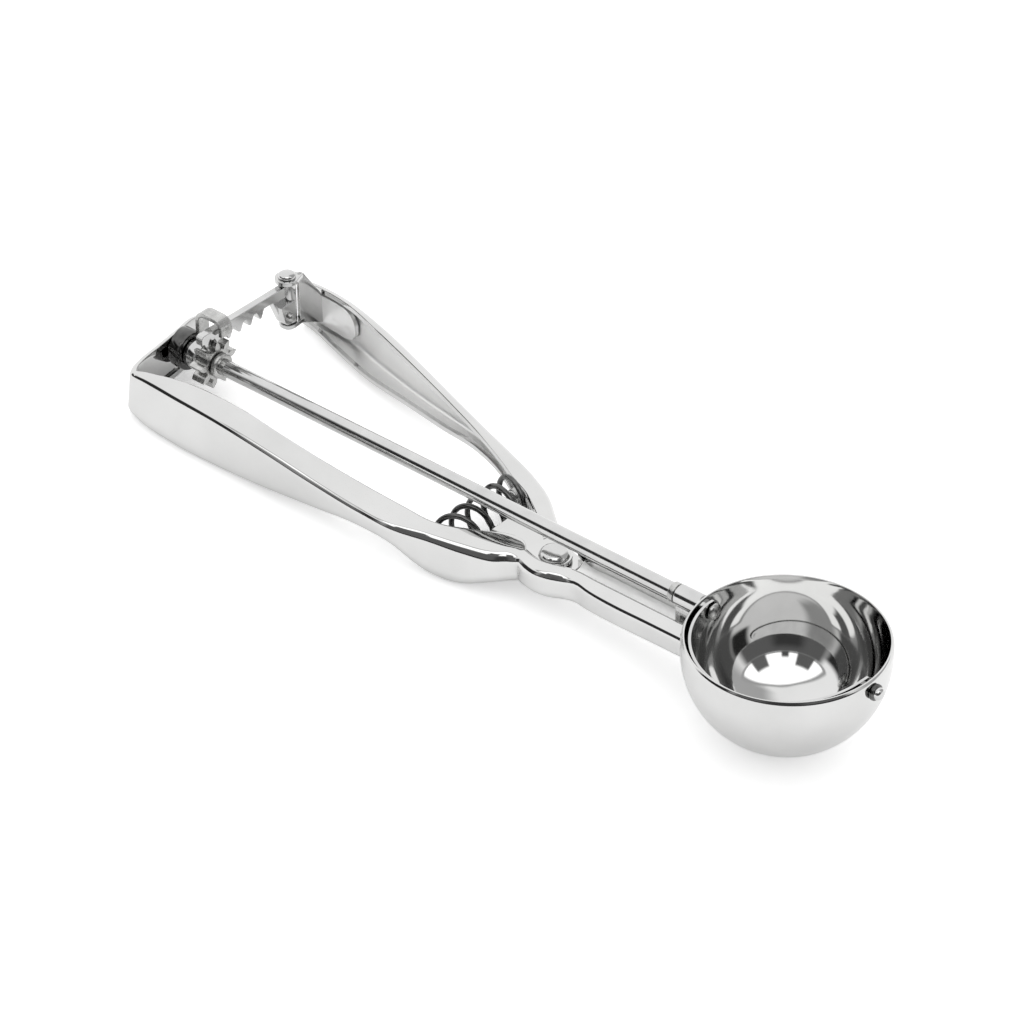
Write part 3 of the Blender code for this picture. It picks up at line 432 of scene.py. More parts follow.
def makeFrame():
    thick = sheetSteel["thickness"]
    ribs = wallRibs(frameShell)
    for stretch in ("corner", "handle", "boss", "neck"):
        ribs += frameShell[stretch]
    bm, run, inward = pressChannel(ribs, asDrawn, frameShell["bowlReach"])
    handle = finishPiece(bm, "fixedHandle", "frame", "mirror_steel", ["frame_shell"])
    softenEdges(thicken(handle, thick), frameShell["soft"])

    bm, _, _ = pressChannel(frameShell["neck"], mirrored, frameShell["bowlReach"])
    farSide = finishPiece(bm, "neckFarSide", "frame", "mirror_steel", ["frame_shell"])
    softenEdges(thicken(farSide, thick), frameShell["soft"])

    trough = frameShell["trough"]
    near = insideLine(run, inward, lambda rib: rib[4] - thick / 2, frameShell["floorFrom"], trough["from"])
    rear, half = frameShell["floorRear"]
    outline = [(rear, -half)] + near + [(x, -y) for x, y in reversed(near)] + [(rear, half)]
    floor = cutPlate(outline, frameShell["floorBottom"], frameShell["floorTop"])
    floor = finishPiece(floor, "neckFloor", "frame", "mirror_steel", ["frame_shell"])
    softenEdges(floor, frameShell["floorSoft"], 2)

    def bend(column, row):
        # A shallow trough from the boss to the bowl
        across = 2 * row / (trough["rows"] - 1) - 1
        x = trough["from"] + (trough["to"] - trough["from"]) * column / (trough["columns"] - 1)
        return x, trough["half"] * across, trough["floor"] + (trough["edge"] - trough["floor"]) * across**2

    sheet = bendBlank(trough["columns"], trough["rows"], bend)
    # The trough takes the rougher inner look, toned lighter as painted light
    sheet = finishPiece(sheet, "neckTrough", "frame", "mirror_steel", ["frame_shell"], "rough_inside_painted_light")
    softenEdges(thicken(sheet, thick), frameShell["floorSoft"], 2)


makeFrame()
print("fixed handle, wall and neck pressed")


# Lever

lever = {
    # x, y, top, bottom, top flange, bottom flange, lip, drawn closed and on the near side
    "ribs": [
        (-197.5, -22.28, 3.7, -8.8, 2.3, 4.0, 1.6),
        (-193.0, -23.18, 3.9, -9.0, 2.3, 4.8, 1.6),
        (-182.0, -24.3, 3.9, -9.5, 2.5, 7.0, 1.6),
        (-165.0, -23.5, 3.1, -10.6, 3.2, 7.4, 1.6),
        (-150.0, -22.6, 0.9, -10.7, 3.2, 6.2, 1.6),
        (-135.0, -21.8, -2.0, -10.1, 3.2, 5.8, 1.6),
        (-120.0, -20.7, -4.2, -9.6, 3.8, 4.8, 1.6),
        (-110.0, -19.6, -5.0, -11.3, 4.8, 4.4, 1.6),
        (-100.5, -18.0, -5.4, -16.4, 5.9, 4.0, 1.6),
        (-91.0, -15.0, -5.5, -17.3, 5.6, 4.0, 1.4),
        (-84.0, -11.0, -5.5, -15.0, 5.4, 3.6, 1.4),
        (-80.0, -8.6, -5.5, -14.0, 5.4, 3.0, 1.4),
    ],
    "tongueEdge": [(-78.8, -2.9), (-85.6, -1.6), (-90.9, -1.9), (-90.9, 4.0), (-89.0, 10.0)],
    "tongueSpan": (-90.0, -81.0), "eyeArc": (100, -120), "soft": 0.3, "tongueSoft": 0.25,
}


def makeLever():
    thick = sheetSteel["thickness"]
    bm, run, inward = pressChannel(lever["ribs"], opened)
    shell = finishPiece(bm, "leverHandle", "lever", "mirror_steel", ["lever_shell"])
    # The inner skin takes the rougher inner look, toned lighter as painted light
    shell.data.materials.append(steels["rough_inside_painted_light"])
    thicken(shell, thick).modifiers["thickness"].material_offset = 1  # the inner skin isn't polished
    softenEdges(shell, lever["soft"])

    wall = [opened(x, y) for x, y in insideLine(run, inward, lambda rib: thick / 2, *lever["tongueSpan"])]
    eye = arcPoints((pivot["x"], 0), pivot["eye"], *lever["eyeArc"], 36)
    tongue = cutPlate(wall + eye + lever["tongueEdge"], pivot["top"] - pivot["below"], pivot["top"])
    tongue = finishPiece(tongue, "leverTongue", "lever", "mirror_steel", ["lever_shell"])
    softenEdges(tongue, lever["tongueSoft"], 2)


makeLever()
print("lever pressed")


# Bowl

bowl = {
    "radius": 25.36, "rim": 3.29, "centre": -0.7, "wall": 0.95, "round": 0.15, "edge": 2.2, "edgeTurn": 40,
    "pole": -88, "rings": 44, "steps": 160,
}


def makeBowl():
    outer, inner = bowl["radius"], bowl["radius"] - bowl["wall"]
    centre, pole, rings = bowl["centre"], bowl["pole"], bowl["rings"]
    top, r, edge = bowl["rim"], bowl["round"], bowl["edge"]
    rimStart = top - edge * math.sin(math.radians(bowl["edgeTurn"]))
    profile = [(0, centre - outer)] + arcPoints((0, centre), outer, pole, 0, rings)
    profile += straight((outer, centre), (outer, rimStart), 4)
    profile += arcPoints((outer - edge, rimStart), edge, 0, bowl["edgeTurn"], 8)  # rounded outer edge
    profile += arcPoints((inner + r, top - r), r, 90, 180, 4)
    profile += straight((inner, top - r), (inner, centre), 4)
    profile += arcPoints((0, centre), inner, 0, pole, rings) + [(0, centre - inner)]
    finishPiece(turnProfile(profile, "Z", steps=bowl["steps"]), "bowlSpun", "frame", "mirror_steel", ["bowl"])


makeBowl()
print("bowl spun")


# Scraper blade

blade = {
    "radius": 22.95, "thickness": 0.7, "half": 4.2, "end": 2.7, "rest": 6.0, "round": 8, "roundStart": 4,
    "columns": 120, "rows": 9, "fullness": 0.6, "soft": 0.15,
}


def makeBlade():
    # Each column is an angle round the bowl, a reach past the pivot and half the width
    end, rows, start = blade["end"], blade["rows"], blade["roundStart"]
    path = []
    for i in range(blade["round"]):
        beyond = end * math.cos(math.radians(start + (90 - start) * i / blade["round"]))
        path.append((-90, -beyond, math.sqrt(end**2 - beyond**2)))
    for i in range(blade["columns"] + 1):
        angle = -90 + 180 * i / blade["columns"]
        share = max(0.0, math.cos(math.radians(angle))) ** blade["fullness"]
        path.append((angle, 0.0, end + (blade["half"] - end) * share))
    path += [(90, beyond, half) for _, beyond, half in reversed(path[: blade["round"]])]
    rest = math.radians(blade["rest"])

    def bend(column, row):
        angle, beyond, half = path[column]
        out = blade["radius"] * math.cos(math.radians(angle)) - abs(beyond)
        up = half * (2 * row / (rows - 1) - 1)
        return (
            blade["radius"] * math.sin(math.radians(angle)),
            -out * math.cos(rest) - up * math.sin(rest),
            -out * math.sin(rest) + up * math.cos(rest),
        )

    band = finishPiece(bendBlank(len(path), rows, bend), "scraperBlade", "scraper", "polished_steel", ["blade"])
    softenEdges(thicken(band, blade["thickness"], 0), blade["soft"], 2)


makeBlade()
print("blade bent")


# Rod, gear and collars

rod = {
    "radius": 2.2, "rear": -203.6, "front": -23.8, "spigot": 1.3, "spigotEnd": -22.4, "chamfer": 0.4,
    "rearEdge": (0.1, 0.15), "room": 0.05, "steps": 96,
}
gear = {
    "teeth": 9, "module": 1.25, "pressure": 25.0, "addendum": 1.2, "root": 4.25, "thinning": 0.15,
    "front": -186.2, "rear": -190.4, "flankSteps": 8, "soft": 0.18, "softAngle": 50,
}
# name, node, radius, rear, front, chamfer
collars = [
    ("gearCollar", "pinion_collar", 3.5, gear["front"] + 0.3, gear["front"] + 1.8, 0.4),
    ("stopCollar", "rod_collar", 2.65, -34.6, -33.0, 0.15),
]
# Peened end of the rod on the blade, as radius and height over the blade
bladeRivet = {
    "seat": 0.5, "head": [(0, 0), (2.2, 0), (2.2, 0.25), (2.05, 0.55), (1.7, 0.85), (1.1, 1.02), (0, 1.1)],
}


def collarProfile(inner, outer, low, high, chamfer):
    # A ring with each outer corner rounded in two steps
    cut = 0.3 * chamfer
    return [
        (inner, low), (outer - chamfer, low), (outer - cut, low + cut), (outer, low + chamfer),
        (outer, high - chamfer), (outer - cut, high - cut), (outer - chamfer, high),
        (inner, high), (inner, low),
    ]


def makeRod():
    r, c = rod["radius"], rod["chamfer"]
    inset, ahead = rod["rearEdge"]
    profile = [(0, rod["rear"]), (r - c, rod["rear"]), (r - inset, rod["rear"] + ahead), (r, rod["rear"] + c)]
    profile += [(r, rod["front"]), (rod["spigot"], rod["front"]), (rod["spigot"], rod["spigotEnd"])]
    profile += [(0, rod["spigotEnd"])]
    drawn = turnProfile(profile, steps=rod["steps"])
    finishPiece(drawn, "rodDrawn", "scraper", "polished_steel", ["scraper_rod"])


def makeGear():
    pitch = gear["module"] * gear["teeth"] / 2
    base = pitch * math.cos(math.radians(gear["pressure"]))
    outer = pitch + gear["addendum"]
    pressure = math.radians(gear["pressure"])
    atPitch = math.pi / (2 * gear["teeth"]) - gear["thinning"] / pitch

    def halfAngle(radius):
        turn = math.acos(min(1.0, base / radius))
        return atPitch + (math.tan(pressure) - pressure) - (math.tan(turn) - turn)

    steps = gear["flankSteps"]
    radii = [gear["root"]] + [base + (outer - base) * i / steps for i in range(steps + 1)]
    flank = [(radius, halfAngle(radius)) for radius in radii]
    outline = []
    for tooth in range(gear["teeth"]):
        middle = math.pi / 2 + math.tau * tooth / gear["teeth"]
        side = [(radius, middle - turn) for radius, turn in flank]
        side += [(radius, middle + turn) for radius, turn in reversed(flank)]
        side += [(gear["root"], middle + math.pi / gear["teeth"])]
        outline += [(radius * math.cos(turn), radius * math.sin(turn)) for radius, turn in side]
    blank = cutPlate(outline, gear["rear"], gear["front"], "X")
    wheel = finishPiece(blank, "gearWheel", "scraper", "satin_steel", ["pinion"])
    softenEdges(wheel, gear["soft"], 2, gear["softAngle"])


def makeCollars():
    bore = rod["radius"] + rod["room"]
    for name, node, radius, low, high, chamfer in collars:
        ring = turnProfile(collarProfile(bore, radius, low, high, chamfer))
        finishPiece(ring, name, "scraper", "satin_steel", [node])
    face = blade["thickness"] / 2 - blade["radius"] + bladeRivet["seat"]
    head = [(radius, face + rise) for radius, rise in bladeRivet["head"]]
    finishPiece(turnProfile(head), "bladeRivetHead", "scraper", "satin_steel", ["blade_rivet"])


makeRod()
makeGear()
makeCollars()
print("rod, gear and collars turned")


# Rear and front bearings, and the guide over the rack

bearing = {
    "room": 0.08, "wallFace": -200.2, "wallReach": 0.5, "lean": 0.156, "plateRadius": 5.4, "plateFront": -195.6,
    "plateChamfer": 0.35, "cupRadius": 4.1, "cupChamfer": 0.5, "gap": 0.3,
    "frontLow": -32.7, "frontHigh": -25.5, "sleeve": 2.75, "web": 1.6, "soft": 0.3, "softAngle": 50,
}
guide = {
    "foot": 4.4, "rear": -195.3, "front": -186.9, "top": 12.3, "lip": 4.8, "low": 1.2, "high": 5.2, "bend": 2.6,
    "bendSteps": 6, "rows": 5, "soft": 0.2,
}


def makeBearings():
    bore = rod["radius"] + bearing["room"]
    wall, front = bearing["wallFace"], bearing["plateFront"]
    bm = turnProfile(collarProfile(bore, bearing["plateRadius"], wall, front, bearing["plateChamfer"]))
    for vert in bm.verts:
        if vert.co.x < wall + bearing["wallReach"]:
            vert.co.x -= bearing["lean"] * vert.co.y  # the end wall slants
    # The drum is toned near black as a painted dark reflection
    finishPiece(bm, "bearingDrum", "frame", "satin_steel", ["bearing_plate"], "spring_wire")

    low, high = front + bearing["gap"], gear["rear"] - bearing["gap"]
    cup = turnProfile(collarProfile(bore, bearing["cupRadius"], low, high, bearing["cupChamfer"]))
    finishPiece(cup, "bearingCup", "frame", "polished_steel", ["bearing_cup"])

    turn = math.degrees(math.acos(bearing["web"] / bearing["sleeve"]))
    outline = arcPoints((0, 0), bearing["sleeve"], -turn, 180 + turn, 48)
    outline += [(-bearing["web"], frameShell["floorTop"]), (bearing["web"], frameShell["floorTop"])]
    block = cutPlate(outline, bearing["frontLow"], bearing["frontHigh"], "X")
    saddle = finishPiece(block, "frontBearing", "frame", "polished_steel", ["front_bearing"])
    softenEdges(saddle, bearing["soft"], 3, bearing["softAngle"])


def bentPath(corners, radius, steps):
    # A path with round bends through its corners
    path = [corners[0]]
    for before, corner, after in zip(corners, corners[1:], corners[2:]):
        a, b = Vector(before) - Vector(corner), Vector(after) - Vector(corner)
        a, b = a.normalized() * radius, b.normalized() * radius
        for i in range(steps + 1):
            t = i / steps
            path.append(tuple(Vector(corner) + a * (1 - t) ** 2 + b * t**2))
    return path + [corners[-1]]


def makeGuide():
    half = sheetSteel["thickness"] / 2
    rear, front, top = guide["rear"] + half, guide["front"] + half, guide["top"] - half
    corners = [(rear, guide["foot"]), (rear, top), (front, top), (front, guide["top"] - guide["lip"])]
    path = bentPath(corners, guide["bend"], guide["bendSteps"])

    def bend(column, row):
        x, z = path[column]
        return x, guide["low"] + (guide["high"] - guide["low"]) * row / (guide["rows"] - 1), z

    strip = bendBlank(len(path), guide["rows"], bend)
    strip = finishPiece(strip, "rackGuide", "frame", "satin_steel", ["rack_guide"])
    softenEdges(thicken(strip, sheetSteel["thickness"], 0), guide["soft"], 2)


makeBearings()
makeGuide()
print("bearings and guide made")


# Rack on its pin, and the bracket that carries it

rack = {
    "x": -188.6, "thickness": 2.2, "teeth": 6, "nearEnd": -4.3, "barEnd": 22.4, "top": 9.8, "corner": 0.8,
    "pinY": 29.2, "pin": 1.4, "room": 0.08, "farSide": 1.6, "addendum": 1.0, "dedendum": 1.45,
    "soft": 0.2, "softAngle": 20, "barrel": 2.3, "barrelRoom": 0.3, "barrelChamfer": 0.3,
    "tab": -1.8, "tabCentre": (27.1, 1.2), "tabRadius": 2.3, "tabWiden": 1.0, "tabTop": 5.4, "tabFront": 2.7,
    "tabSoft": 0.25,
    "neckLine": [(25.6, 1.4), (26.4, 0.4), (27.6, 0)],  # across, height over the tab
    "rivet": [(0, 0), (1.1, 0), (1.1, 0.6), (0.95, 0.85), (0.6, 1.02), (0, 1.1)],
}
bracket = {
    "ear": 3.3, "lowerEar": 2.6, "upper": 10.5, "lower": -3.3, "webX": -191.4, "webY": -23.7, "front": -177.0,
    "rear": -194.5, "round": 6.0, "margin": 2.0, "offWall": 0.4, "rows": 25, "step": 0.7,
    "welds": [(-181.0, 0.6), (-185.5, 1.4), (-180.6, -4.4), (-186.0, -3.8)], "dent": 0.22, "dentRadius": 0.8,
    "webGap": 0.3, "webFoot": -6.6, "webHead": 1.6, "webCurve": [(4.4, 5.2), (3.1, 3.0), (3.0, 1.8)],
    "reach": 10.4, "topReach": 8.6, "earStart": 8.9, "earTurn": (65, 230), "soft": 0.2,
}
# Radius and distance from the ears
rackPin = {
    "room": 0.05,
    "tail": [(0, -1.1), (1.1, -0.95), (1.7, -0.6), (1.9, -0.2), (1.9, 0)],
    "head": [(2.4, 0), (2.4, 0.5), (2.2, 0.9), (1.7, 1.25), (0.9, 1.5), (0, 1.55)],
}


def makeRack():
    pitch = math.pi * gear["module"]
    radius = gear["module"] * gear["teeth"] / 2
    slope = math.tan(math.radians(gear["pressure"]))
    half = pitch / 4 - gear["thinning"]
    tip, root = radius - rack["addendum"], radius + rack["dedendum"]
    near, top, corner = rack["nearEnd"], rack["top"], rack["corner"]
    outline = [(near + corner, top), (near, top - corner), (near, root)]
    for tooth in range(rack["teeth"]):
        middle = (tooth - 0.5) * pitch
        atRoot, atTip = half + slope * rack["dedendum"], half - slope * rack["addendum"]
        outline += [(middle - atRoot, root), (middle - atTip, tip)]
        outline += [(middle + atTip, tip), (middle + atRoot, root)]
    outline += [(rack["barEnd"], root)] + [(across, rack["tab"] + rise) for across, rise in rack["neckLine"]]
    farSide = rack["pinY"] + rack["farSide"]
    outline += [(farSide, rack["tab"]), (farSide, top)]
    low = rack["x"] - rack["thickness"] / 2
    bar = cutPlate(outline, low, low + rack["thickness"], "X")
    bar = finishPiece(bar, "rackBar", "rack", "polished_steel", ["rack"])
    softenEdges(bar, rack["soft"], 2, rack["softAngle"])

    centre = (rack["x"], rack["pinY"], 0)
    bore, barrelTop = rack["pin"] + rack["room"], bracket["upper"] - rack["barrelRoom"]
    barrel = collarProfile(bore, rack["barrel"], rack["tab"], barrelTop, rack["barrelChamfer"])
    finishPiece(turnProfile(barrel, "Z", centre), "rackBarrel", "rack", "polished_steel", ["rack"])

    face = rack["x"] + rack["tabFront"]
    across, high = rack["tabCentre"]
    radius, tabTop = rack["tabRadius"], rack["tabTop"]
    tab = arcPoints(rack["tabCentre"], radius, 180, 360, 24)
    tab += [(across + radius, tabTop), (across - radius - rack["tabWiden"], tabTop)]
    tab = finishPiece(cutPlate(tab, rack["x"], face, "X"), "rackTab", "rack", "polished_steel", ["rack"])
    softenEdges(tab, rack["tabSoft"], 3, rack["softAngle"])
    head = turnProfile([(r, face + rise) for r, rise in rack["rivet"]], "X", (0, across, high))
    finishPiece(head, "rackRivetHead", "rack", "satin_steel", ["rack_rivet"])


def makeBracket():
    thick = sheetSteel["thickness"]
    near = thick + bracket["offWall"]
    run = smoothRibs(lever["ribs"], bracket["step"])
    inward = inwardAlong(run)
    span = [i for i, rib in enumerate(run) if bracket["rear"] <= rib[0] <= bracket["front"]]
    rows = bracket["rows"]

    def bend(column, row):
        # The weld plate follows the lever's wall and is round at its front end
        rib, way = run[span[column]], inward[span[column]]
        left = min(1.0, max(0.02, (bracket["front"] - rib[0]) / bracket["round"]))
        middle, tall = (rib[2] + rib[3]) / 2, (rib[2] - rib[3]) / 2 - bracket["margin"]
        z = middle + tall * math.sqrt(1 - (1 - left) ** 2) * (2 * row / (rows - 1) - 1)
        dent = sum(
            bracket["dent"] * math.exp(-((rib[0] - x) ** 2 + (z - high) ** 2) / bracket["dentRadius"] ** 2)
            for x, high in bracket["welds"]
        )
        depth = near + thick / 2 - dent
        return (*opened(rib[0] + way.x * depth, rib[1] + way.y * depth), z)

    sheet = bendBlank(len(span), rows, bend)
    # The weld plate takes the rougher inner look, toned lighter as painted light
    sheet = finishPiece(sheet, "weldPlate", "lever", "polished_steel", ["rack_bracket"], "rough_inside_painted_light")
    softenEdges(thicken(sheet, thick, 0), bracket["soft"], 2)

    rear, front = bracket["webX"], bracket["webX"] + thick
    top = bracket["upper"] + thick
    start, reach = near + bracket["webGap"], bracket["reach"]
    depths = [(start, bracket["webFoot"]), (reach, bracket["lower"]), (reach, top), (bracket["topReach"], top)]
    depths += bracket["webCurve"] + [(start, bracket["webHead"])]
    web = cutPlate([(bracket["webY"] + depth, z) for depth, z in depths], rear, front, "X")
    for vert in web.verts:
        vert.co.x, vert.co.y = opened(vert.co.x, vert.co.y)
    bmesh.ops.recalc_face_normals(web, faces=web.faces[:])
    offset, sweep = bracket["earTurn"]
    for low, radius in ((bracket["lower"], bracket["lowerEar"]), (bracket["upper"], bracket["ear"])):
        ends = [opened(x, bracket["webY"] + bracket["earStart"]) for x in (rear, front)]
        first = math.degrees(math.atan2(ends[0][1] - rack["pinY"], ends[0][0] - rack["x"])) + offset
        outline = arcPoints((rack["x"], rack["pinY"]), radius, first, first + sweep, 36) + [ends[1], ends[0]]
        addTo(web, cutPlate(outline, low, low + thick))
    ears = finishPiece(web, "bracketEars", "lever", "polished_steel", ["rack_bracket"])
    softenEdges(ears, bracket["soft"], 2)

    high, low = top + rackPin["room"], bracket["lower"] - rackPin["room"]
    pin = [(radius, low + rise) for radius, rise in rackPin["tail"]]
    pin += [(rack["pin"], low), (rack["pin"], high)]
    pin += [(radius, high + rise) for radius, rise in rackPin["head"]]
    turned = turnProfile(pin, "Z", (rack["x"], rack["pinY"], 0))
    finishPiece(turned, "rackPinHead", "lever", "polished_steel", ["rack_pin"])


makeRack()
makeBracket()
print("rack and bracket made")


# Rivets and pins, with their ends as radius and distance from where they sit

rivet = {
    "radius": 2.2, "room": 0.05, "tailDrop": 1.6, "washer": 4.4, "washerRoom": 0.1, "washerChamfer": 0.25,
    "peened": [(0, -1.3), (1.4, -1.25), (2.4, -1.0), (3.1, -0.6), (3.4, -0.1), (3.4, 0)],
    "dome": [(3.95, 0), (3.95, 0.1), (3.8, 0.45), (3.35, 1.15), (2.8, 1.45), (1.8, 1.62), (0, 1.65)],
}
rimPin = {
    "outside": 25.42, "inner": 21.75, "radius": 1.25, "bore": 1.35, "collar": 2.1, "long": 1.15, "chamfer": 0.3,
    "dome": [(1.6, 0), (1.6, 0.5), (1.5, 0.9), (1.2, 1.2), (0.7, 1.4), (0, 1.45)],
}


def makeRivets():
    base, tail = pivot["top"] + rivet["room"], frameShell["floorBottom"] - rivet["tailDrop"]
    head = [(radius, tail + rise) for radius, rise in rivet["peened"]]
    head += [(rivet["radius"], tail), (rivet["radius"], base)]
    head += [(radius, base + rise) for radius, rise in rivet["dome"]]
    centre = (pivot["x"], 0, 0)
    finishPiece(turnProfile(head, "Z", centre), "pivotRivetHead", "frame", "polished_steel", ["pivot_rivet"])
    low, high = tail + rivet["room"], frameShell["floorBottom"] - rivet["room"]
    bore = rivet["radius"] + rivet["washerRoom"]
    washer = collarProfile(bore, rivet["washer"], low, high, rivet["washerChamfer"])
    finishPiece(turnProfile(washer, "Z", centre), "pivotWasherRing", "frame", "satin_steel", ["pivot_washer"])

    outside, base = rimPin["outside"], rimPin["outside"] + rimPin["long"]
    collar = turnProfile(collarProfile(rimPin["bore"], rimPin["collar"], outside, base, rimPin["chamfer"]))
    # The rim collar is toned near black as a painted dark reflection
    finishPiece(collar, "rimCollar", "frame", "satin_steel", ["rim_pin_collar"], "spring_wire")
    pin = [(0, rimPin["inner"]), (rimPin["radius"], rimPin["inner"]), (rimPin["radius"], base)]
    pin += [(radius, base + rise) for radius, rise in rimPin["dome"]]
    finishPiece(turnProfile(pin), "rimPinHead", "frame", "polished_steel", ["rim_pin"])


makeRivets()
print("rivets and pins turned")


# Spring between the handles

spring = {
    "x": -98.0, "z": -9.7, "radius": 5.55, "wire": 0.74, "near": -7.5, "far": 13.8, "nearSlope": 0.28,
    "farSlope": -0.43, "endPitch": 2.4, "endCurls": 0.5, "curls": 4, "points": 40, "keep": 0.83,
}
peg = {
    "radius": 2.1, "round": [(2.1, 0.8), (1.85, 0.3), (1.3, 0)], "nearSeat": -14.4, "steps": 48,
    "on": [("pegOnHandle", "spring_peg_frame", "frame", 1), ("pegOnLever", "spring_peg_lever", "lever", -1)],
}


def makeSpring():
    turns = 2 * spring["endCurls"] + spring["curls"]
    active = (spring["far"] - spring["near"]) / spring["curls"]
    count = round(turns * spring["points"])
    y = spring["near"] - spring["endCurls"] * spring["endPitch"]
    wire = bpy.data.curves.new("springWire", "CURVE")
    wire.dimensions = "3D"
    wire.bevel_depth = spring["wire"]
    wire.bevel_resolution = 5
    wire.use_fill_caps = True
    line = wire.splines.new("POLY")
    line.points.add(count)
    for i in range(count + 1):
        turn = turns * i / count
        angle = math.tau * (turn - 0.5)
        x, z = -spring["radius"] * math.cos(angle), spring["z"] + spring["radius"] * math.sin(angle)
        slope = spring["nearSlope"] + (spring["farSlope"] - spring["nearSlope"]) * i / count
        line.points[i].co = (spring["x"] + x, y + slope * x, z, 1)
        middle = turn + turns / count / 2
        atEnd = middle < spring["endCurls"] or middle > turns - spring["endCurls"]
        y += (spring["endPitch"] if atEnd else active) * turns / count
    drawn = bpy.data.objects.new("springWire", wire)
    bpy.context.scene.collection.objects.link(drawn)
    bpy.context.view_layer.update()
    mesh = bpy.data.meshes.new_from_object(drawn.evaluated_get(bpy.context.evaluated_depsgraph_get()))
    bpy.data.objects.remove(drawn)
    bm = bmesh.new()
    bm.from_mesh(mesh)
    bpy.data.meshes.remove(mesh)
    bmesh.ops.remove_doubles(bm, verts=bm.verts[:], dist=mergeGap)
    # The coil is toned near black as a painted dark reflection
    coil = finishPiece(bm, "springCoil", "frame", "spring_wire", ["spring"])
    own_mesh(coil)


def makePegs():
    # Studs that stand on the handles inside the ends of the spring
    for name, node, body, towards in peg["on"]:
        low, high = (place.inverted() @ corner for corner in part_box(node))
        wall, nose = (peg["nearSeat"], high.y) if towards > 0 else (high.y, low.y)
        stud = [(0, wall), (peg["radius"], wall)]
        stud += [(radius, nose - towards * back) for radius, back in peg["round"]] + [(0, nose)]
        turned = turnProfile(stud, "Y", (spring["x"], 0, spring["z"]), peg["steps"])
        finishPiece(turned, name, body, "satin_steel", [node])


makeSpring()
makePegs()
print("spring wound")


# Camera, floor and light

camera = {
    "azimuth": 40.694, "elevation": 35.998, "roll": -0.277, "distance": 1.010212,
    "target": (-0.073868, -0.013773, 0.01281), "focal": 4169.905, "pixels": 1024, "sensor": 36,
}


def makeCamera():
    a, e, r = (math.radians(camera[key]) for key in ("azimuth", "elevation", "roll"))
    back = Vector((math.sin(a) * math.cos(e), -math.cos(a) * math.cos(e), math.sin(e)))
    level = Vector((math.cos(a), math.sin(a), 0))
    rise = back.cross(level)
    right = level * math.cos(r) + rise * math.sin(r)
    up = rise * math.cos(r) - level * math.sin(r)
    eye = Vector(camera["target"]) + back * camera["distance"]
    lens = bpy.data.cameras.new("photographer")
    lens.sensor_width = camera["sensor"]
    lens.lens = camera["sensor"] * camera["focal"] / camera["pixels"]
    lens.clip_end = 20
    viewer = bpy.data.objects.new("photographer", lens)
    bpy.context.scene.collection.objects.link(viewer)
    turned = Matrix((right, up, back)).transposed().to_4x4()
    onBowl = Matrix.Translation(bowlCentre) @ turnInPlace.to_4x4()
    viewer.matrix_world = onBowl @ Matrix.Translation(eye) @ turned
    bpy.context.scene.camera = viewer


studio = {
    "floorTone": 0.93, "floorSeen": 0.32, "floorMirrored": 0.08, "floorSize": 8.0, "floorRough": 0.9,
    "floorShine": 0.1, "daylight": 1.1, "lampPower": 3.0, "lampSize": 1.2, "lampAt": (-0.5, 0.7, 1.5),
    "walls": 1.12, "sillCurve": 3.0,
}
# What the steel mirrors, by azimuth from the rod's line and by height, in degrees
cards = {
    "rightWall": {"azimuth": (22, 85), "height": (-20, 75), "soft": (12, 10), "tone": 0.5},
    "darkRoom": {"azimuth": (-108, 12), "height": (-20, 40), "soft": (7, 3), "tone": 0.13},
    "leftRoom": {"azimuth": (-150, -108), "height": (-20, 33), "soft": (8, 3), "tone": 0.03},
    "tableEnd": {"azimuth": (-150, 20), "height": (-20, 9), "soft": (8, 3), "tone": 0.03},
    "darkest": {"azimuth": (-74, -36), "height": (-20, 33), "soft": (8, 5), "tone": 0.05},
}
window = {"middle": -46, "half": 72, "low": 40, "rise": 37, "sill": 5, "corner": 2.4, "soft": 0.1, "tone": 1.7}
windowFrame = {
    "middle": -46, "half": 80, "low": 38, "rise": 42, "sill": 6, "corner": 2.4, "soft": 0.1, "tone": 0.45,
}
stands = {
    "leftStand": {"azimuth": (-97, -70), "height": (38, 53), "soft": (2, 2), "tone": 0.14},
    "middleStand": {"azimuth": (-57, -46), "height": (38, 45), "soft": (2, 2), "tone": 0.1},
    "rightStand": {"azimuth": (-22, 3), "height": (38, 53), "soft": (2, 2), "tone": 0.16},
}


def makeFloor():
    bm = bmesh.new()
    bmesh.ops.create_grid(bm, x_segments=1, y_segments=1, size=studio["floorSize"] / 2)
    mesh = bpy.data.meshes.new("paperFloor")
    bm.to_mesh(mesh)
    bm.free()
    floor = bpy.data.objects.new("paperFloor", mesh)
    bpy.context.scene.collection.objects.link(floor)
    paper = bpy.data.materials.new("paperWhite")
    paper.use_nodes = True
    shader = paper.node_tree.nodes["Principled BSDF"]
    shader.inputs["Base Color"].default_value = (studio["floorTone"],) * 3 + (1,)
    shader.inputs["Roughness"].default_value = studio["floorRough"]
    shader.inputs["Specular IOR Level"].default_value = studio["floorShine"]
    shader.inputs["Emission Color"].default_value = (1, 1, 1, 1)
    rays = paper.node_tree.nodes.new("ShaderNodeLightPath")
    glow = 0.0
    for ray, strength in (("Is Camera Ray", studio["floorSeen"]), ("Is Glossy Ray", studio["floorMirrored"])):
        share = paper.node_tree.nodes.new("ShaderNodeMath")
        share.operation = "MULTIPLY_ADD"
        paper.node_tree.links.new(rays.outputs[ray], share.inputs[0])
        share.inputs[1].default_value = strength
        if glow:
            paper.node_tree.links.new(glow, share.inputs[2])
        else:
            share.inputs[2].default_value = 0.0
        glow = share.outputs["Value"]
    paper.node_tree.links.new(glow, shader.inputs["Emission Strength"])
    mesh.materials.append(paper)


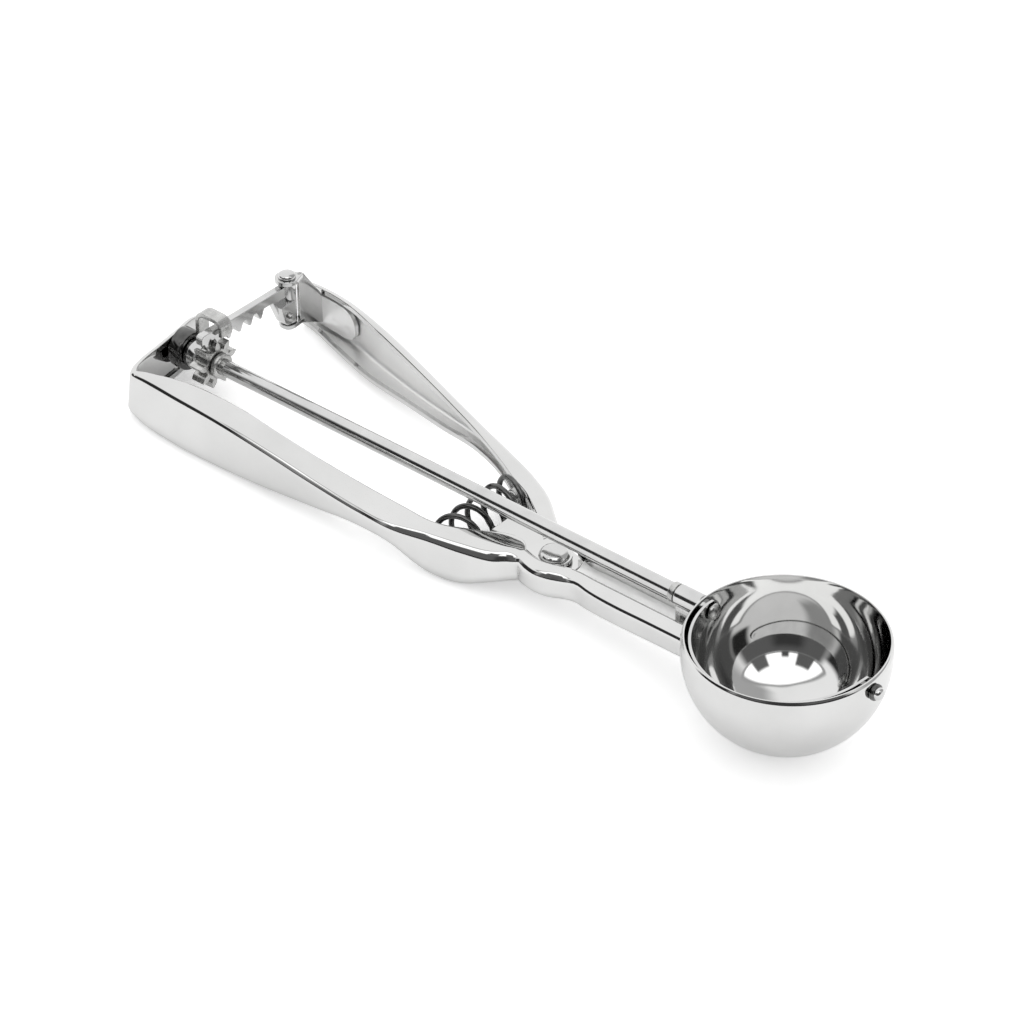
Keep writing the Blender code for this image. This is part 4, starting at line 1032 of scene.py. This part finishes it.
def makeLamp():
    lamp = bpy.data.lights.new("softbox", "AREA")
    lamp.shape = "SQUARE"
    lamp.size = studio["lampSize"]
    lamp.energy = studio["lampPower"]
    box = bpy.data.objects.new("softbox", lamp)
    bpy.context.scene.collection.objects.link(box)
    box.location = studio["lampAt"]
    box.rotation_mode = "QUATERNION"
    box.rotation_quaternion = (-Vector(studio["lampAt"])).to_track_quat("-Z", "Y")
    box.visible_glossy = False


def makeWorld():
    world = bpy.data.worlds.new("studio")
    bpy.context.scene.world = world
    world.use_nodes = True
    tree = world.node_tree

    def fill(node, values):
        for socket, value in values.items():
            if isinstance(value, (int, float)):
                node.inputs[socket].default_value = value
            else:
                tree.links.new(value, node.inputs[socket])

    def compute(operation, *values):
        node = tree.nodes.new("ShaderNodeMath")
        node.operation = operation
        fill(node, dict(enumerate(values)))
        return node.outputs["Value"]

    def along(axis):
        node = tree.nodes.new("ShaderNodeVectorMath")
        node.operation = "DOT_PRODUCT"
        tree.links.new(direction, node.inputs[0])
        node.inputs[1].default_value = axis
        return node.outputs["Value"]

    def step(source, low, high):
        node = tree.nodes.new("ShaderNodeMapRange")
        node.interpolation_type = "SMOOTHSTEP"
        fill(node, {"Value": source, "From Min": low, "From Max": high})
        return node.outputs["Result"]

    def within(source, span, soft):
        low, high = span
        return compute("MULTIPLY", step(source, low - soft, low + soft), step(source, high + soft, high - soft))

    def mix(share, under, over):
        node = tree.nodes.new("ShaderNodeMix")
        fill(node, {"Factor": share, "A": under, "B": over})
        return node.outputs["Result"]

    direction = tree.nodes.new("ShaderNodeTexCoord").outputs["Generated"]
    east, north, high = along(rodAxis), along(rivetAxis.cross(rodAxis)), along(rivetAxis)
    azimuth = compute("DEGREES", compute("ARCTAN2", north, east))
    height = compute("DEGREES", compute("ARCSINE", high))
    reflected = studio["walls"]

    def hang(card, under):
        across = within(azimuth, card["azimuth"], card["soft"][0])
        share = compute("MULTIPLY", across, within(height, card["height"], card["soft"][1]))
        return mix(share, under, card["tone"])

    def glaze(pane, under):
        # A window with round corners
        offMiddle = compute("SUBTRACT", azimuth, pane["middle"])
        across = compute("ABSOLUTE", compute("DIVIDE", offMiddle, pane["half"]))
        over = compute("MAXIMUM", compute("SUBTRACT", height, pane["low"]), 0.0)
        rise = compute("DIVIDE", over, pane["rise"])
        reach = compute("ADD", compute("POWER", across, pane["corner"]), compute("POWER", rise, pane["corner"]))
        sunk = compute("DIVIDE", compute("SUBTRACT", pane["low"] + pane["sill"], height), pane["sill"])
        sill = compute("POWER", compute("MAXIMUM", sunk, 0.0), studio["sillCurve"])
        return mix(step(compute("ADD", reach, sill), 1 + pane["soft"], 1 - pane["soft"]), under, pane["tone"])

    for card in cards.values():
        reflected = hang(card, reflected)
    reflected = glaze(window, glaze(windowFrame, reflected))
    for card in stands.values():
        reflected = hang(card, reflected)
    rays = tree.nodes.new("ShaderNodeLightPath")
    lit = mix(rays.outputs["Is Glossy Ray"], studio["daylight"], reflected)
    seen = mix(rays.outputs["Is Camera Ray"], lit, 1.0)
    ground = tree.nodes["Background"]
    ground.inputs["Color"].default_value = (1, 1, 1, 1)
    tree.links.new(seen, ground.inputs["Strength"])
    bpy.context.scene.view_settings.view_transform = "Standard"


makeCamera()
makeFloor()
makeLamp()
makeWorld()
print("camera and studio set")
